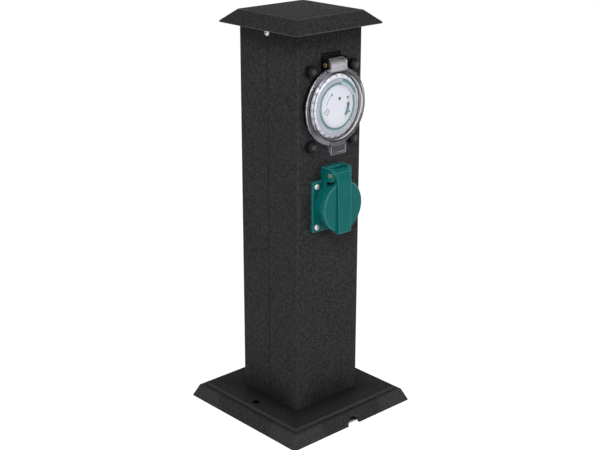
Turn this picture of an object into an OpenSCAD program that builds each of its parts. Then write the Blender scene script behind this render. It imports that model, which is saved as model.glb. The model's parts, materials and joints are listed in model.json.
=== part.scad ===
// Garden power post with a clock timer under a clear lid and a socket outlet under a sprung lid.
// Lengths are in millimetres. The origin is the centre of the underside of the base.
// Z points up, and the face with the timer and the socket looks along -Y.

/* [Post] */
// Outer width of the square post
post_w = 82; // [74:1:100]
// Sheet thickness of the post
post_t = 2; // [1.5:0.25:3]
// Outer radius of the folded post edges
post_r = 3.4; // [3.2:0.1:6]
// Height over everything, from the ground to the top of the cap
total_h = 400; // [360:5:600]
// Width of the butt seam in the left side
seam_gap = 0.7; // [0.4:0.1:1.2]

/* [Base] */
// Width of the tray at the ground
tray_w = 159; // [152:1:220]
// Run-in of the bevel on each side of the tray
tray_bevel = 5.5; // [3:0.5:7]
// Height of the tray shoulder
tray_h = 12.2; // [10:0.2:20]
// Sheet thickness of the tray
tray_t = 2; // [1.5:0.25:3]
// Radius of the folded tray shoulder
tray_r = 2.4; // [1:0.2:3]
// Width of the foot plate on the tray
plate_w = 138.5; // [130:0.5:141]
// Thickness of the foot plate
plate_t = 3; // [2.5:0.5:5]
// Distance of the ground screw holes from the edge of the foot plate
ground_inset = 9.5; // [6:0.5:10]
// Diameter of the ground screw holes
ground_d = 6.5; // [5:0.5:8]
// Radius of the cable notch in the front bevel
notch_r = 7.2; // [5:0.2:8]
// Diameter of the cable opening in the plate and the tray
cable_d = 32; // [20:1:40]

/* [Cap] */
// Overhang of the cap beyond the post on each side
cap_over = 13.4; // [12:0.1:18]
// Height of the whole cap
cap_h = 12.5; // [11:0.5:16]
// Reach of the flat on top of the cap beyond the post
cap_top_over = 0.75; // [0.75:0.05:3]
// Height of the upright lip round the cap
cap_lip = 1.4; // [1:0.1:2]
// Sheet thickness of the cap
cap_t = 1.5; // [1:0.1:1.8]
// Diameter of the cap screw heads
cap_screw_d = 6.4; // [5.5:0.1:7]

/* [Timer] */
// Distance of the timer centre below the top of the cap
timer_drop = 83.5; // [83:0.5:120]
// Distance from the flange of the clear lid to the side of the post
lid_margin = 3.85; // [3:0.05:4.5]
// Step from the edge of the lid flange in to its raised drum
drum_step = 4.55; // [4.4:0.05:5.4]
// Distance of the drum front from the post face
drum_front = 12; // [11.9:0.1:13]
// Wall of the clear lid
lid_t = 1.4; // [1.2:0.1:1.5]
// Distance of the frame bolts from the edge of the lid flange
bolt_reach = 6.85; // [6.5:0.05:7.5]
// Angle of the upper frame bolts above the level of the dial centre
bolt_angle = 52.75; // [51:0.25:54]
// Size across the flats of the bolt heads
bolt_af = 10; // [8:0.5:11]
// Height of the hexagon of the bolt heads
bolt_h = 5.6; // [4:0.2:7]
// Step from the raised drum in to the edge of the turning dial
dial_step = 2.9; // [2.3:0.1:3.5]
// Number of trippers round the dial
tripper_n = 96; // [96]
// Number of trippers pushed in for the on time
tripper_on = 14; // [4:1:30]
// Index of the first tripper that is pushed in
tripper_first = 6; // [0:1:20]
// Radial travel of a tripper
tripper_travel = 2.1; // [1.6:0.1:2.4]

/* [Socket] */
// Distance of the socket centre below the timer centre
unit_pitch = 94.5; // [94:0.5:120]
// Width of the square socket flange
flange_w = 50; // [49:0.5:54]
// Thickness of the socket flange
flange_t = 2.8; // [2:0.2:4]
// Distance between the flange screws
screw_pitch = 40; // [39.5:0.1:40.5]
// Diameter of the flange screw heads
screw_d = 5.6; // [5:0.1:6]
// Outer radius of the socket collar
collar_r = 22; // [21.8:0.1:22.4]
// Radius of the plug well
well_r = 19.7; // [19.5:0.1:20]
// Depth of the plug well
well_depth = 17.5; // [17:0.5:18.5]
// Distance of the collar front from the post face
collar_front = 14; // [13.5:0.1:14.2]
// Radius of the round socket lid
cover_r = 24.7; // [24:0.1:24.9]
// Thickness of the socket lid at its rim
cover_t = 4.7; // [4:0.1:5]
// Width of the raised band on the socket lid at its top
band_w = 17.4; // [15:0.2:18]
// Width of the raised band at its lower end
band_low_w = 15.6; // [12:0.2:16.4]
// Height of the raised band above the lid at its top
band_h = 1.4; // [1.4:0.1:2.2]
// Height of the raised band above the lid at its lower end
band_low_h = 2.7; // [2.4:0.1:4]

/* [Hidden] */
$fn = 72;
fit = 0.05;
gap = 0.3;
touch = 0.6;

// Levels and half widths that follow from the sizes above
front = post_w / 2;
inner = front - post_t;
plate_z = tray_h;
ground_pitch = plate_w - 2 * ground_inset;
post_z = plate_z + plate_t;
cap_w = post_w + 2 * cap_over;
cap_top_w = post_w + 2 * cap_top_over;
cap_z = total_h - cap_h;
post_top = total_h - cap_t;
tongue_len = 22;
tongue_z = post_top - tongue_len;
cap_screw_z = post_top - 15.2;
timer_z = total_h - timer_drop;
socket_z = timer_z - unit_pitch;
base_pitch = post_w - 28;

// Timer levels, measured outwards from the post face
sheet_in = -post_t;
pad_t = 1;
frame_out = sheet_in - pad_t;
frame_t = 3;
frame_in = frame_out - frame_t;
case_t = 2;
case_in = frame_in - case_t;
case_deep = 26;
case_back = case_in - case_deep;
cover_plate_t = 2;
lid_r = front - lid_margin;
drum_r = lid_r - drum_step;
bolt_x = 2 * (lid_r + bolt_reach) * cos(bolt_angle);
bolt_y = 2 * (lid_r + bolt_reach) * sin(bolt_angle);
ring_r = drum_r + 1.2;
ring_in = ring_r - 2;
ring_front = 6;
seal_t = 0.6;
lid_back = ring_front + seal_t;
lid_flange_t = 2;
lid_front = lid_back + lid_flange_t;
cut_r = ring_r + 0.6;

// Hinge of the clear lid
hinge_y = lid_r + 2.25;
hinge_off = 5.8;
hinge_half = 12.2;
ear_t = 1.8;
ear_front = 9.3;
ear_low = hinge_y - 4;
ear_high = hinge_y + 6;
knuckle_r = 5.5;
knuckle_half = hinge_half - ear_t - gap;
pin_r = 1.75;
notch_half = hinge_half + 0.4;
notch_top = hinge_y + 10.2;
arm_foot = drum_r - 1.6;
frame_half = inner - 1.5;
frame_top = notch_top + 3;
frame_low = bolt_y / 2 + 9;
case_half_x = frame_half - 6.5;
case_half_y = bolt_y / 2 - 6;

// Dial levels and radii
spindle_r = 3;
gear_back = -1;
gear_t = 3;
plate_back = 3;
plate_front = 5;
track_front = 8;
tripper_front = 8.8;
dial_r = drum_r - dial_step;
track_out = dial_r - 3.2;
track_in = track_out - 6.3;
number_front = 8.6;
number_edge = 6.2;
disc_r = track_in - 0.35;
disc_back = 7.7;
disc_front = 9.2;
tripper_pitch = 360 / tripper_n;
tripper_w = 1.15;
tripper_len = track_out - track_in - 0.35 - tripper_travel;
tripper_rest = track_out - 0.15 - tripper_len;
lever_r = disc_r - 6.25;
lever_floor = 8.4;
lever_half = 1.5;

// Drive of the dial
gear_n = 72;
pinion_n = 9;
drive_r = track_in + 2.4;
pinion_pitch = drive_r / (1 + gear_n / pinion_n);
gear_pitch = drive_r - pinion_pitch;
gear_tip = gear_pitch + 0.41;
gear_root = gear_pitch - 0.79;
pinion_tip = pinion_pitch + 0.49;
pinion_root = pinion_pitch - 0.61;
drive_angle = 225;
spindle_head_r = 5;
shaft_shift = 5;
motor_r = drive_r - shaft_shift - spindle_head_r - 1.6;

// Socket levels and hinge
pad2_t = 0.8;
flange_front = pad2_t + flange_t;
well_floor = collar_front - well_depth;
back_r = well_r + 1;
back_off = well_floor - 19;
cover_back = collar_front + gap;
cover_front = cover_back + cover_t;
band_front = cover_front + band_h;
band_low_front = cover_front + band_low_h;
lip_y = -cover_r - 0.6;
arm_y = 31;
arm_off = 12.8;
arm_half = band_w / 2 + 0.8;
ear2_in = arm_half + gap;
ear2_out = ear2_in + 2.4;
ear2_front = 16.6;
ear2_high = 37.6;
ear2_low = 24.8;
ear2_r = 3;
knuckle2_r = 5.3;
bridge_front = arm_off - knuckle2_r - 0.5;
fold_y = arm_y - 4.8;
fold_turn = 62;
fold_r = knuckle2_r + 0.4;
spring_half = 4;
spring_r = 3;
spring_wire = 0.8;
spring_turns = 5;
pole_x = 9.5;

// Wires and terminals inside the post
wire_r = 1.3;
bend_r = 6;
term_off = case_back - cover_plate_t;
term_x = [-22, -9.5, 9.5, 22];
block_z = 62;
block_h = 18;
block_top = block_z + block_h;
wire_back_z = (socket_z + block_top) / 2 + 9.5;
wire_side_z = block_top + 30;
block_wire_x = 12;
stud_x = 26;

black = [0.12, 0.12, 0.13];
dark = [0.08, 0.08, 0.09];
steel = [0.78, 0.79, 0.80];
brass = [0.80, 0.64, 0.34];
teal = [0.02, 0.42, 0.40];
white = [0.90, 0.91, 0.93];
grey = [0.62, 0.65, 0.68];
green = [0.25, 0.46, 0.44];
rubber = [0.10, 0.10, 0.10];
clear = [0.85, 0.86, 0.92, 0.35];

// Frames of the two units: x across, y up, z out of the post face
module on_face(z) {
    translate([0, -front, z]) rotate([90, 0, 0]) children();
}

module on_timer() {
    on_face(timer_z) children();
}

module on_socket() {
    on_face(socket_z) children();
}

// A profile drawn in height and distance out, drawn out across the post
module across(half) {
    rotate([0, -90, 0]) rotate([0, 0, 90]) mirror([0, 1, 0]) linear_extrude(2 * half, center = true) children();
}

// Rounded rectangle about the origin
module rounded(w, d, r) {
    square([w - 2 * r, d], center = true);
    square([w, d - 2 * r], center = true);
    for (sx = [-1, 1], sy = [-1, 1]) {
        translate([sx * (w / 2 - r), sy * (d / 2 - r)]) circle(r);
    }
}

// Corners of a rectangular pattern
module corners(px, py) {
    for (sx = [-1, 1], sy = [-1, 1]) {
        translate([sx * px / 2, sy * py / 2, 0]) children();
    }
}

// Square hipped form: the same profile drawn through in both directions
module hipped(half) {
    intersection() {
        rotate([90, 0, 0]) linear_extrude(4 * half, center = true) children();
        rotate([90, 0, 90]) linear_extrude(4 * half, center = true) children();
    }
}

// Hexagon by its size across the flats
module hexagon(af, h) {
    cylinder(h = h, r = af / sqrt(3), $fn = 6);
}

// Dome of a given foot radius and rise, standing on z = 0
module dome(foot, rise) {
    r = (foot * foot + rise * rise) / (2 * rise);
    intersection() {
        translate([0, 0, rise - r]) sphere(r);
        cylinder(r = foot, h = rise);
    }
}

// Bevelled profile of the tray with a round shoulder
module tray_profile(half, run, rise, r) {
    len = norm([run, rise]);
    turn = acos(run / len);
    cut = r * tan(turn / 2);
    top = half - run;
    low_x = top + run / len * cut;
    low_z = rise - rise / len * cut;
    polygon([[-half, 0], [half, 0], [low_x, low_z], [top - cut, rise], [cut - top, rise], [-low_x, low_z]]);
    for (s = [-1, 1]) {
        translate([s * (top - cut), rise - r]) circle(r);
    }
}

module base_tray() {
    side = tray_t * norm([tray_bevel, tray_h]) / tray_h;
    corner = (tray_w / 2) * sqrt(2) - 1.3;
    color(black) difference() {
        intersection() {
            hipped(tray_w / 2) tray_profile(tray_w / 2, tray_bevel, tray_h, tray_r);
            rotate([0, 0, 45]) hipped(corner) tray_profile(corner, tray_bevel * sqrt(2), tray_h, tray_r);
        }
        translate([0, 0, -1]) hipped(tray_w / 2) polygon([
            [side - tray_w / 2 - tray_bevel / tray_h, 0],
            [tray_w / 2 - side + tray_bevel / tray_h, 0],
            [tray_w / 2 - side - tray_bevel * (tray_h - tray_t) / tray_h, tray_h - tray_t + 1],
            [side - tray_w / 2 + tray_bevel * (tray_h - tray_t) / tray_h, tray_h - tray_t + 1]]);
        translate([0, -tray_w / 2 + 12, 0]) rotate([90, 0, 0]) cylinder(r = notch_r, h = 20);
        cylinder(d = cable_d, h = tray_h + 1);
        for (s = [-1, 1]) {
            translate([s * ground_pitch / 2, 0, 0]) cylinder(d = ground_d, h = tray_h + 1);
        }
        corners(base_pitch, base_pitch) cylinder(r = 2.1, h = tray_h + 1);
    }
}

module foot_plate() {
    edge = min(1.4, plate_t / 2.1);
    color(black) difference() {
        translate([0, 0, plate_z]) intersection() {
            linear_extrude(plate_t) rounded(plate_w, plate_w, 4);
            hipped(plate_w / 2) {
                translate([0, plate_t / 2]) rounded(plate_w, plate_t, edge);
                translate([-plate_w / 2, 0]) square([plate_w, plate_t / 2]);
            }
        }
        translate([0, 0, plate_z - 1]) {
            cylinder(d = cable_d, h = plate_t + 2);
            for (s = [-1, 1]) {
                translate([s * ground_pitch / 2, 0, 0]) cylinder(d = ground_d, h = plate_t + 2);
            }
            corners(base_pitch, base_pitch) cylinder(r = 2.1, h = plate_t + 2);
        }
    }
}

// Four screws hold the tray to the plate from below, inside the outline of the post
module base_screws() {
    color(steel) corners(base_pitch, base_pitch) translate([0, 0, plate_z - tray_t]) {
        translate([0, 0, -2.4]) cylinder(r1 = 3, r2 = 3.6, h = 2.4);
        cylinder(r = 2, h = tray_t + plate_t + 4.5);
    }
}

module base_nuts() {
    color(steel) corners(base_pitch, base_pitch) translate([0, 0, post_z]) difference() {
        hexagon(7, 3.2);
        translate([0, 0, -1]) cylinder(r = 2 + fit, h = 6);
    }
}

module post_tube() {
    color(black) difference() {
        translate([0, 0, post_z]) linear_extrude(post_top - post_z) difference() {
            rounded(post_w, post_w, post_r);
            rounded(2 * inner, 2 * inner, post_r - post_t + 0.2);
        }
        translate([-front - 1, -seam_gap / 2, 0]) cube([post_t + 2, seam_gap, total_h]);
        for (s = [-1, 1]) {
            translate([s * front, 0, cap_screw_z]) rotate([0, 90, 0]) cylinder(r = 2.2, h = 4 * post_t, center = true);
        }
        on_timer() translate([0, 0, sheet_in - 1]) {
            cylinder(r = cut_r, h = post_t + 2);
            translate([-notch_half, 0, 0]) cube([2 * notch_half, notch_top, post_t + 2]);
            corners(bolt_x, bolt_y) cylinder(r = 2.7, h = post_t + 2);
        }
        on_socket() translate([0, 0, sheet_in - 1]) {
            cylinder(r = back_r + 0.3, h = post_t + 2);
            corners(screw_pitch, screw_pitch) cylinder(r = 1.7, h = post_t + 2);
        }
    }
}

// Strip that backs the butt seam from inside
module seam_strip() {
    color(black) translate([-inner, -8, post_z]) cube([1.6, 16, tongue_z - 2 - post_z]);
}

module top_cap() {
    half = cap_w / 2;
    top = cap_top_w / 2;
    run = half - top;
    rise = cap_h - cap_lip;
    len = norm([run, rise]);
    side = cap_t * len / rise;
    low = half - cap_t;
    in_top = top + run * cap_t / rise - side;
    color(black) {
        translate([0, 0, cap_z]) difference() {
            hipped(half) polygon([[-half, 0], [half, 0], [half, cap_lip], [top, cap_h], [-top, cap_h], [-half, cap_lip]]);
            hipped(half) polygon([
                [-low, -1],
                [low, -1],
                [low, cap_lip + (half - side - low) * rise / run],
                [in_top, cap_h - cap_t],
                [-in_top, cap_h - cap_t],
                [-low, cap_lip + (half - side - low) * rise / run]]);
        }
        for (s = [-1, 1]) {
            difference() {
                translate([s * (inner - 1), 0, tongue_z + tongue_len / 2 + 0.2]) {
                    cube([2, 20, tongue_len + 0.4], center = true);
                }
                translate([s * inner, 0, cap_screw_z]) rotate([0, 90, 0]) cylinder(r = 2 + fit, h = 12, center = true);
            }
        }
    }
}

module cap_screws() {
    color(steel) for (s = [0, 180]) {
        rotate([0, 0, s]) translate([-front, 0, cap_screw_z]) rotate([0, -90, 0]) difference() {
            union() {
                cylinder(d = cap_screw_d, h = 0.9);
                translate([0, 0, 0.9]) dome(cap_screw_d / 2, 1.5);
                translate([0, 0, -7]) cylinder(r = 2, h = 7.1);
            }
            translate([0, 0, 1.2]) {
                cube([0.9, 3.6, 4], center = true);
                cube([3.6, 0.9, 4], center = true);
            }
        }
    }
}

module frame_plate(low, high, half, t) {
    translate([0, (high - low) / 2, 0]) linear_extrude(t) rounded(2 * half, high + low, 3);
}

module timer_gasket() {
    color(rubber) on_timer() difference() {
        translate([0, 0, frame_out]) frame_plate(frame_low, frame_top, frame_half, pad_t);
        translate([0, 0, frame_out - 1]) {
            cylinder(r = cut_r, h = pad_t + 2);
            translate([-notch_half, ear_low - 0.4, 0]) cube([2 * notch_half, ear_high - ear_low + 0.8, pad_t + 2]);
            corners(bolt_x, bolt_y) cylinder(r = 2.6, h = pad_t + 2);
        }
    }
}

// Side outline of the two hinge ears and their foot
module ear_outline(low, high, back, out, r) {
    translate([low, back]) square([high - low, out - r - back]);
    translate([low + r, back]) square([high - low - 2 * r, out - back]);
    for (y = [low + r, high - r]) {
        translate([y, out - r]) circle(r);
    }
}

module timer_frame() {
    color(dark) on_timer() difference() {
        union() {
            translate([0, 0, frame_in]) frame_plate(frame_low, frame_top, frame_half, frame_t);
            translate([0, 0, frame_in]) cylinder(r = ring_r, h = ring_front - frame_in);
            across(hinge_half) ear_outline(ear_low, ear_high, frame_in, ear_front, 2.2);
        }
        translate([0, 0, frame_in - 1]) {
            cylinder(r = ring_in, h = ring_front - frame_in + 2);
            corners(bolt_x, bolt_y) cylinder(r = 2.6, h = frame_t + 2);
        }
        translate([ear_t - hinge_half, ear_low - 1, hinge_off - knuckle_r - gap]) {
            cube([2 * (hinge_half - ear_t), ear_high - ear_low + 2, 20]);
        }
        translate([0, hinge_y, hinge_off]) rotate([0, 90, 0]) cylinder(r = pin_r + 0.02, h = 40, center = true);
    }
}

// Hexagon bolts with a domed top
module timer_bolts() {
    color(dark) on_timer() corners(bolt_x, bolt_y) {
        intersection() {
            hexagon(bolt_af, bolt_h);
            cylinder(r1 = bolt_af / sqrt(3) + bolt_h - 0.6, r2 = bolt_af / 2 - 0.3, h = bolt_h);
        }
        translate([0, 0, bolt_h]) dome(bolt_af * 0.38, 1.9);
        translate([0, 0, case_in - 6]) cylinder(r = 2.4, h = 6 - case_in + 0.1);
    }
}

module timer_nuts() {
    color(steel) on_timer() corners(bolt_x, bolt_y) translate([0, 0, case_in - 4]) difference() {
        hexagon(8, 4);
        translate([0, 0, -1]) cylinder(r = 2.4 + fit, h = 6);
    }
}

// Case of the clockwork: an open box whose front wall is bolted behind the frame
module timer_case() {
    color(dark) on_timer() difference() {
        union() {
            translate([0, 0, case_in]) frame_plate(bolt_y / 2 + 6, bolt_y / 2 + 6, bolt_x / 2 + 6, case_t);
            translate([-case_half_x, -case_half_y, case_back]) cube([2 * case_half_x, 2 * case_half_y, case_deep]);
        }
        translate([2 - case_half_x, 2 - case_half_y, case_back - 1]) {
            cube([2 * case_half_x - 4, 2 * case_half_y - 4, case_deep + 1]);
        }
        translate([0, 0, case_in - 1]) {
            corners(bolt_x, bolt_y) cylinder(r = 2.6, h = case_t + 2);
            cylinder(r = spindle_r + 0.02, h = case_t + 2);
            rotate([0, 0, drive_angle]) translate([drive_r, 0, 0]) cylinder(r = 1.4, h = case_t + 2);
        }
    }
}

module timer_cover() {
    color(dark) on_timer() translate([0, 0, case_back - cover_plate_t]) {
        linear_extrude(cover_plate_t) rounded(2 * case_half_x, 2 * case_half_y, 2);
    }
}

module timer_motor() {
    color(steel) on_timer() rotate([0, 0, drive_angle]) translate([drive_r - shaft_shift, 0, 0]) difference() {
        union() {
            translate([0, 0, case_in - 14]) cylinder(r = motor_r, h = 13);
            translate([-6, -9, case_in - 1]) cube([18, 18, 1]);
        }
        translate([shaft_shift, 0, case_in - 6]) cylinder(r = 1 + fit, h = 8);
    }
}

// Toothed wheel outline with straight flanks
function tooth_ring(n, root, tip, foot, top) = [for (i = [0:n - 1]) each [
    [root * cos((i - foot) * 360 / n), root * sin((i - foot) * 360 / n)],
    [tip * cos((i - top) * 360 / n), tip * sin((i - top) * 360 / n)],
    [tip * cos((i + top) * 360 / n), tip * sin((i + top) * 360 / n)],
    [root * cos((i + foot) * 360 / n), root * sin((i + foot) * 360 / n)]]];

module drive_pinion() {
    color(white) on_timer() rotate([0, 0, drive_angle]) translate([drive_r, 0, 0]) {
        translate([0, 0, case_in - 5]) cylinder(r = 1, h = gear_back + gear_t - case_in + 5);
        translate([0, 0, gear_back]) linear_extrude(gear_t) {
            rotate(180 + 180 / pinion_n) polygon(tooth_ring(pinion_n, pinion_root, pinion_tip, 0.2, 0.1));
        }
    }
}

module switch_block() {
    color(dark) on_timer() translate([4, 6, case_in - 10]) {
        cube([20, 10, 10]);
        translate([3, 3, -3]) cube([2, 4, 3]);
        translate([15, 3, -3]) cube([2, 4, 3]);
    }
}

module timer_terminals() {
    color(brass) on_timer() for (x = term_x) {
        translate([x - 3.5, -4.5, term_off - 7]) difference() {
            cube([7, 9, 7]);
            translate([3.5, 4.5, -1]) cylinder(r = 1.7, h = 3);
        }
    }
}

// Fixed axle of the dial, which also carries the centre disc
module spindle() {
    color(steel) on_timer() {
        translate([0, 0, case_in]) cylinder(r = spindle_r, h = disc_back + 0.6 - case_in);
        translate([0, 0, case_in - 2]) cylinder(r = spindle_head_r, h = 2);
    }
}

module dial() {
    color(white) on_timer() {
        translate([0, 0, gear_back]) linear_extrude(gear_t) difference() {
            rotate(drive_angle) polygon(tooth_ring(gear_n, gear_root, gear_tip, 0.2, 0.1));
            circle(spindle_r + fit);
        }
        rotate_extrude() {
            translate([spindle_r + fit, gear_back]) square([4, 7.1 - gear_back]);
            translate([spindle_r + fit, plate_back]) square([dial_r - spindle_r - fit, plate_front - plate_back]);
            translate([spindle_r + fit, plate_back - touch - 0.5]) square([14, touch + 1]);
            translate([track_in - 1.1, plate_front - 0.5]) square([1.05, 2.8]);
            polygon([[track_out + 0.05, plate_front - 0.5], [dial_r, plate_front - 0.5], [dial_r, number_edge],
                [track_out + 0.05, number_front]]);
        }
    }
}

// Coloured floor that the trippers leave bare
module dial_track() {
    color(green) on_timer() translate([0, 0, plate_front]) linear_extrude(track_front - plate_front) difference() {
        circle(track_out);
        circle(track_in);
    }
}

// One tripper with its inner end at a given radius
module tripper(i, r) {
    rotate([0, 0, (i + 0.5) * tripper_pitch]) translate([r, -tripper_w / 2, track_front]) {
        cube([tripper_len, tripper_w, tripper_front - track_front]);
    }
}

module trippers_off() {
    color(grey) on_timer() for (k = [tripper_on + 1:tripper_n - 1]) {
        tripper(tripper_first + k, tripper_rest);
    }
}

module trippers_on() {
    color(grey) on_timer() for (k = [0:tripper_on - 1]) {
        tripper(tripper_first + k, tripper_rest - tripper_travel);
    }
}

// The tripper that is set next, kept apart so that it can slide
module tripper_slide() {
    color(grey) on_timer() tripper(tripper_first + tripper_on, tripper_rest);
}

// Band of a ring between two angles
module ring_part(r_in, r_out, a0, a1) {
    intersection() {
        difference() {
            circle(r_out);
            circle(r_in);
        }
        polygon([[0, 0], for (k = [0:4]) 2 * r_out * [cos(a0 + (a1 - a0) * k / 4), sin(a0 + (a1 - a0) * k / 4)]]);
    }
}

module face_disc() {
    color(white) on_timer() difference() {
        union() {
            translate([0, 0, disc_back]) cylinder(r = disc_r, h = disc_front - disc_back - 0.3);
            translate([0, 0, disc_front - 0.3]) cylinder(r1 = disc_r, r2 = disc_r - 0.3, h = 0.3);
        }
        translate([0, 0, disc_back - 1]) cylinder(r = spindle_r + 0.02, h = 1.6);
        translate([0, 0, lever_floor]) linear_extrude(4) ring_part(lever_r - lever_half - gap, lever_r + lever_half + gap, -50, 18);
    }
}

// Hand switch that runs round the axis in a curved groove
module override_lever() {
    color(green) on_timer() translate([0, 0, lever_floor]) {
        linear_extrude(disc_front - lever_floor + 0.3) ring_part(lever_r - lever_half, lever_r + lever_half, -41, 8);
        translate([0, 0, disc_front - lever_floor + 0.1]) linear_extrude(0.8) {
            ring_part(lever_r - lever_half, lever_r + 2.8, -28, -20);
        }
    }
}

module lid_seal() {
    color(rubber) on_timer() translate([0, 0, ring_front]) linear_extrude(seal_t) difference() {
        circle(ring_r);
        circle(ring_in);
    }
}

// Clear lid: flange, raised drum, hinge knuckle with its arm, and a hollow pull tab
module timer_lid() {
    drum_in = drum_r - lid_t;
    tab_low = -lid_r - 7.4;
    tab_front = drum_front - 0.6;
    color(clear) on_timer() difference() {
        union() {
            translate([0, 0, lid_back]) cylinder(r = lid_r, h = lid_flange_t - 0.4);
            translate([0, 0, lid_front - 0.4]) cylinder(r1 = lid_r, r2 = lid_r - 0.4, h = 0.4);
            translate([0, 0, lid_front - 0.5]) cylinder(r1 = drum_r + 0.4, r2 = drum_r, h = drum_front - lid_front - 0.2);
            translate([0, 0, drum_front - 0.7]) cylinder(r1 = drum_r, r2 = drum_r - 0.7, h = 0.7);
            translate([0, hinge_y, hinge_off]) rotate([0, 90, 0]) {
                cylinder(r = knuckle_r, h = 2 * knuckle_half, center = true);
            }
            translate([-knuckle_half, arm_foot, lid_back]) {
                cube([2 * knuckle_half, hinge_y - arm_foot, hinge_off + knuckle_r - lid_back]);
            }
            across(9.6) polygon([[-lid_r + 6, lid_back], [-lid_r + 1, lid_back], [tab_low, tab_front - 1.6],
                [tab_low, tab_front], [-lid_r + 6, tab_front]]);
        }
        translate([0, 0, lid_back - 1]) cylinder(r = drum_in, h = drum_front - lid_t - lid_back + 1);
        across(11) polygon([[-lid_r + 0.2, lid_back + 1.5], [tab_low + 1.5, tab_front - 1.5],
            [-lid_r + 0.2, tab_front - 1.5]]);
        translate([0, hinge_y, hinge_off]) rotate([0, 90, 0]) {
            cylinder(r = pin_r + fit, h = 40, center = true);
            for (s = [-1, 1]) {
                translate([0, 0, s * (knuckle_half + 1.7)]) cylinder(r = 7.4, h = 3.4, center = true);
            }
        }
    }
}

module timer_lid_pin() {
    color(brass) on_timer() translate([0, hinge_y, hinge_off]) rotate([0, 90, 0]) difference() {
        cylinder(r = pin_r, h = 2 * hinge_half + 1.4, center = true);
        for (s = [-1, 1]) {
            translate([0, 0, s * hinge_half]) cylinder(r = 0.95, h = 5, center = true);
        }
    }
}

module socket_gasket() {
    color(rubber) on_socket() linear_extrude(pad2_t) difference() {
        rounded(flange_w - 2, flange_w - 2, 1.5);
        circle(back_r + 0.2);
        corners(screw_pitch, screw_pitch) circle(1.7);
    }
}

// Moulded body: square flange, collar round the plug well, back drum and the hinge ears
module socket_body() {
    color(teal) on_socket() difference() {
        union() {
            translate([0, 0, pad2_t]) linear_extrude(flange_t - 0.5) rounded(flange_w, flange_w, 2);
            translate([0, 0, flange_front - 0.6]) linear_extrude(0.6) rounded(flange_w - 0.8, flange_w - 0.8, 1.6);
            translate([0, 0, pad2_t]) cylinder(r = collar_r, h = collar_front - pad2_t - 0.6);
            translate([0, 0, collar_front - 0.7]) cylinder(r1 = collar_r, r2 = collar_r - 0.6, h = 0.7);
            translate([0, 0, back_off]) cylinder(r = back_r, h = pad2_t - back_off + 1);
            translate([-ear2_out, 14, pad2_t]) cube([2 * ear2_out, ear2_high - 14 - 0.6, bridge_front - pad2_t]);
            translate([-ear2_out, 14, pad2_t]) cube([2 * ear2_out, ear2_high - 14, bridge_front - pad2_t - 0.6]);
            for (s = [-1, 1]) {
                translate([s * (ear2_in + ear2_out) / 2, 0, 0]) across((ear2_out - ear2_in) / 2) {
                    ear_outline(ear2_low, ear2_high, bridge_front - 3, ear2_front, ear2_r);
                }
            }
        }
        translate([0, 0, well_floor]) cylinder(r = well_r, h = well_depth + 10);
        translate([0, 0, back_off - 1]) cylinder(r = well_r - 1.2, h = well_floor - back_off + 2);
        corners(screw_pitch, screw_pitch) cylinder(r = 1.7, h = 20);
        translate([0, arm_y, arm_off]) rotate([0, 90, 0]) cylinder(r = pin_r + 0.02, h = 40, center = true);
    }
}

module socket_screws() {
    color(steel) on_socket() corners(screw_pitch, screw_pitch) translate([0, 0, flange_front]) difference() {
        union() {
            cylinder(d = screw_d, h = 0.7);
            translate([0, 0, 0.7]) dome(screw_d / 2, 1.4);
            translate([0, 0, -flange_front - post_t - 4]) cylinder(r = 1.5, h = flange_front + post_t + 4.1);
        }
        translate([0, 0, 1.3]) {
            cube([0.8, 3, 3], center = true);
            cube([3, 0.8, 3], center = true);
        }
    }
}

module socket_nuts() {
    color(steel) on_socket() corners(screw_pitch, screw_pitch) translate([0, 0, sheet_in - 2.4]) difference() {
        hexagon(5.5, 2.4);
        translate([0, 0, -1]) cylinder(r = 1.5 + fit, h = 5);
    }
}

// Contact carrier: floor of the plug well with two pole holes and two side grooves for the earth springs
module socket_insert() {
    r = well_r - 1.2 - 0.02;
    color(teal) on_socket() difference() {
        union() {
            translate([0, 0, back_off + 2]) cylinder(r = r, h = well_floor - back_off - 2);
            translate([0, 0, well_floor]) cylinder(r = well_r - 0.1, h = 1.2);
        }
        for (s = [-1, 1]) {
            translate([s * pole_x, 0, back_off]) cylinder(r = 3.1, h = well_floor - back_off - 1.4);
            translate([s * pole_x, 0, back_off]) cylinder(r = 2.6, h = 40);
            translate([-3.3, s * (r - 2.6) - 1.9, back_off]) cube([6.6, 3.8, 40]);
        }
    }
}

module contact_tubes() {
    low = back_off - 3;
    color(brass) on_socket() for (s = [-1, 1]) {
        translate([s * pole_x, 0, low]) difference() {
            cylinder(r = 3.05, h = well_floor - 1.4 - low);
            translate([0, 0, 5]) cylinder(r = 2.45, h = 40);
        }
    }
}

// Earth springs: bent strips that run out of the carrier along the wall of the well
module earth_contacts() {
    y = well_r - 3.9;
    low = back_off + 1;
    high = collar_front - 4;
    color(brass) on_socket() for (s = [0, 180]) {
        rotate([0, 0, s]) across(2.6) {
            translate([y, low]) square([0.9, well_floor + 4 - low]);
            polygon([[y, well_floor + 4], [y + 0.9, well_floor + 4], [y - 0.9, well_floor + 8.5],
                [y - 1.8, well_floor + 8.5]]);
            polygon([[y - 1.8, well_floor + 8.5], [y - 0.9, well_floor + 8.5], [y + 1.4, high], [y + 0.5, high]]);
        }
    }
}

// Outline of the raised band, wider at the top, drawn across and up
module band_outline() {
    polygon([[-band_low_w / 2, lip_y], [band_low_w / 2, lip_y], [band_w / 2, fold_y], [band_w / 2, arm_y + knuckle2_r],
        [-band_w / 2, arm_y + knuckle2_r], [-band_w / 2, fold_y]]);
}

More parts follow.
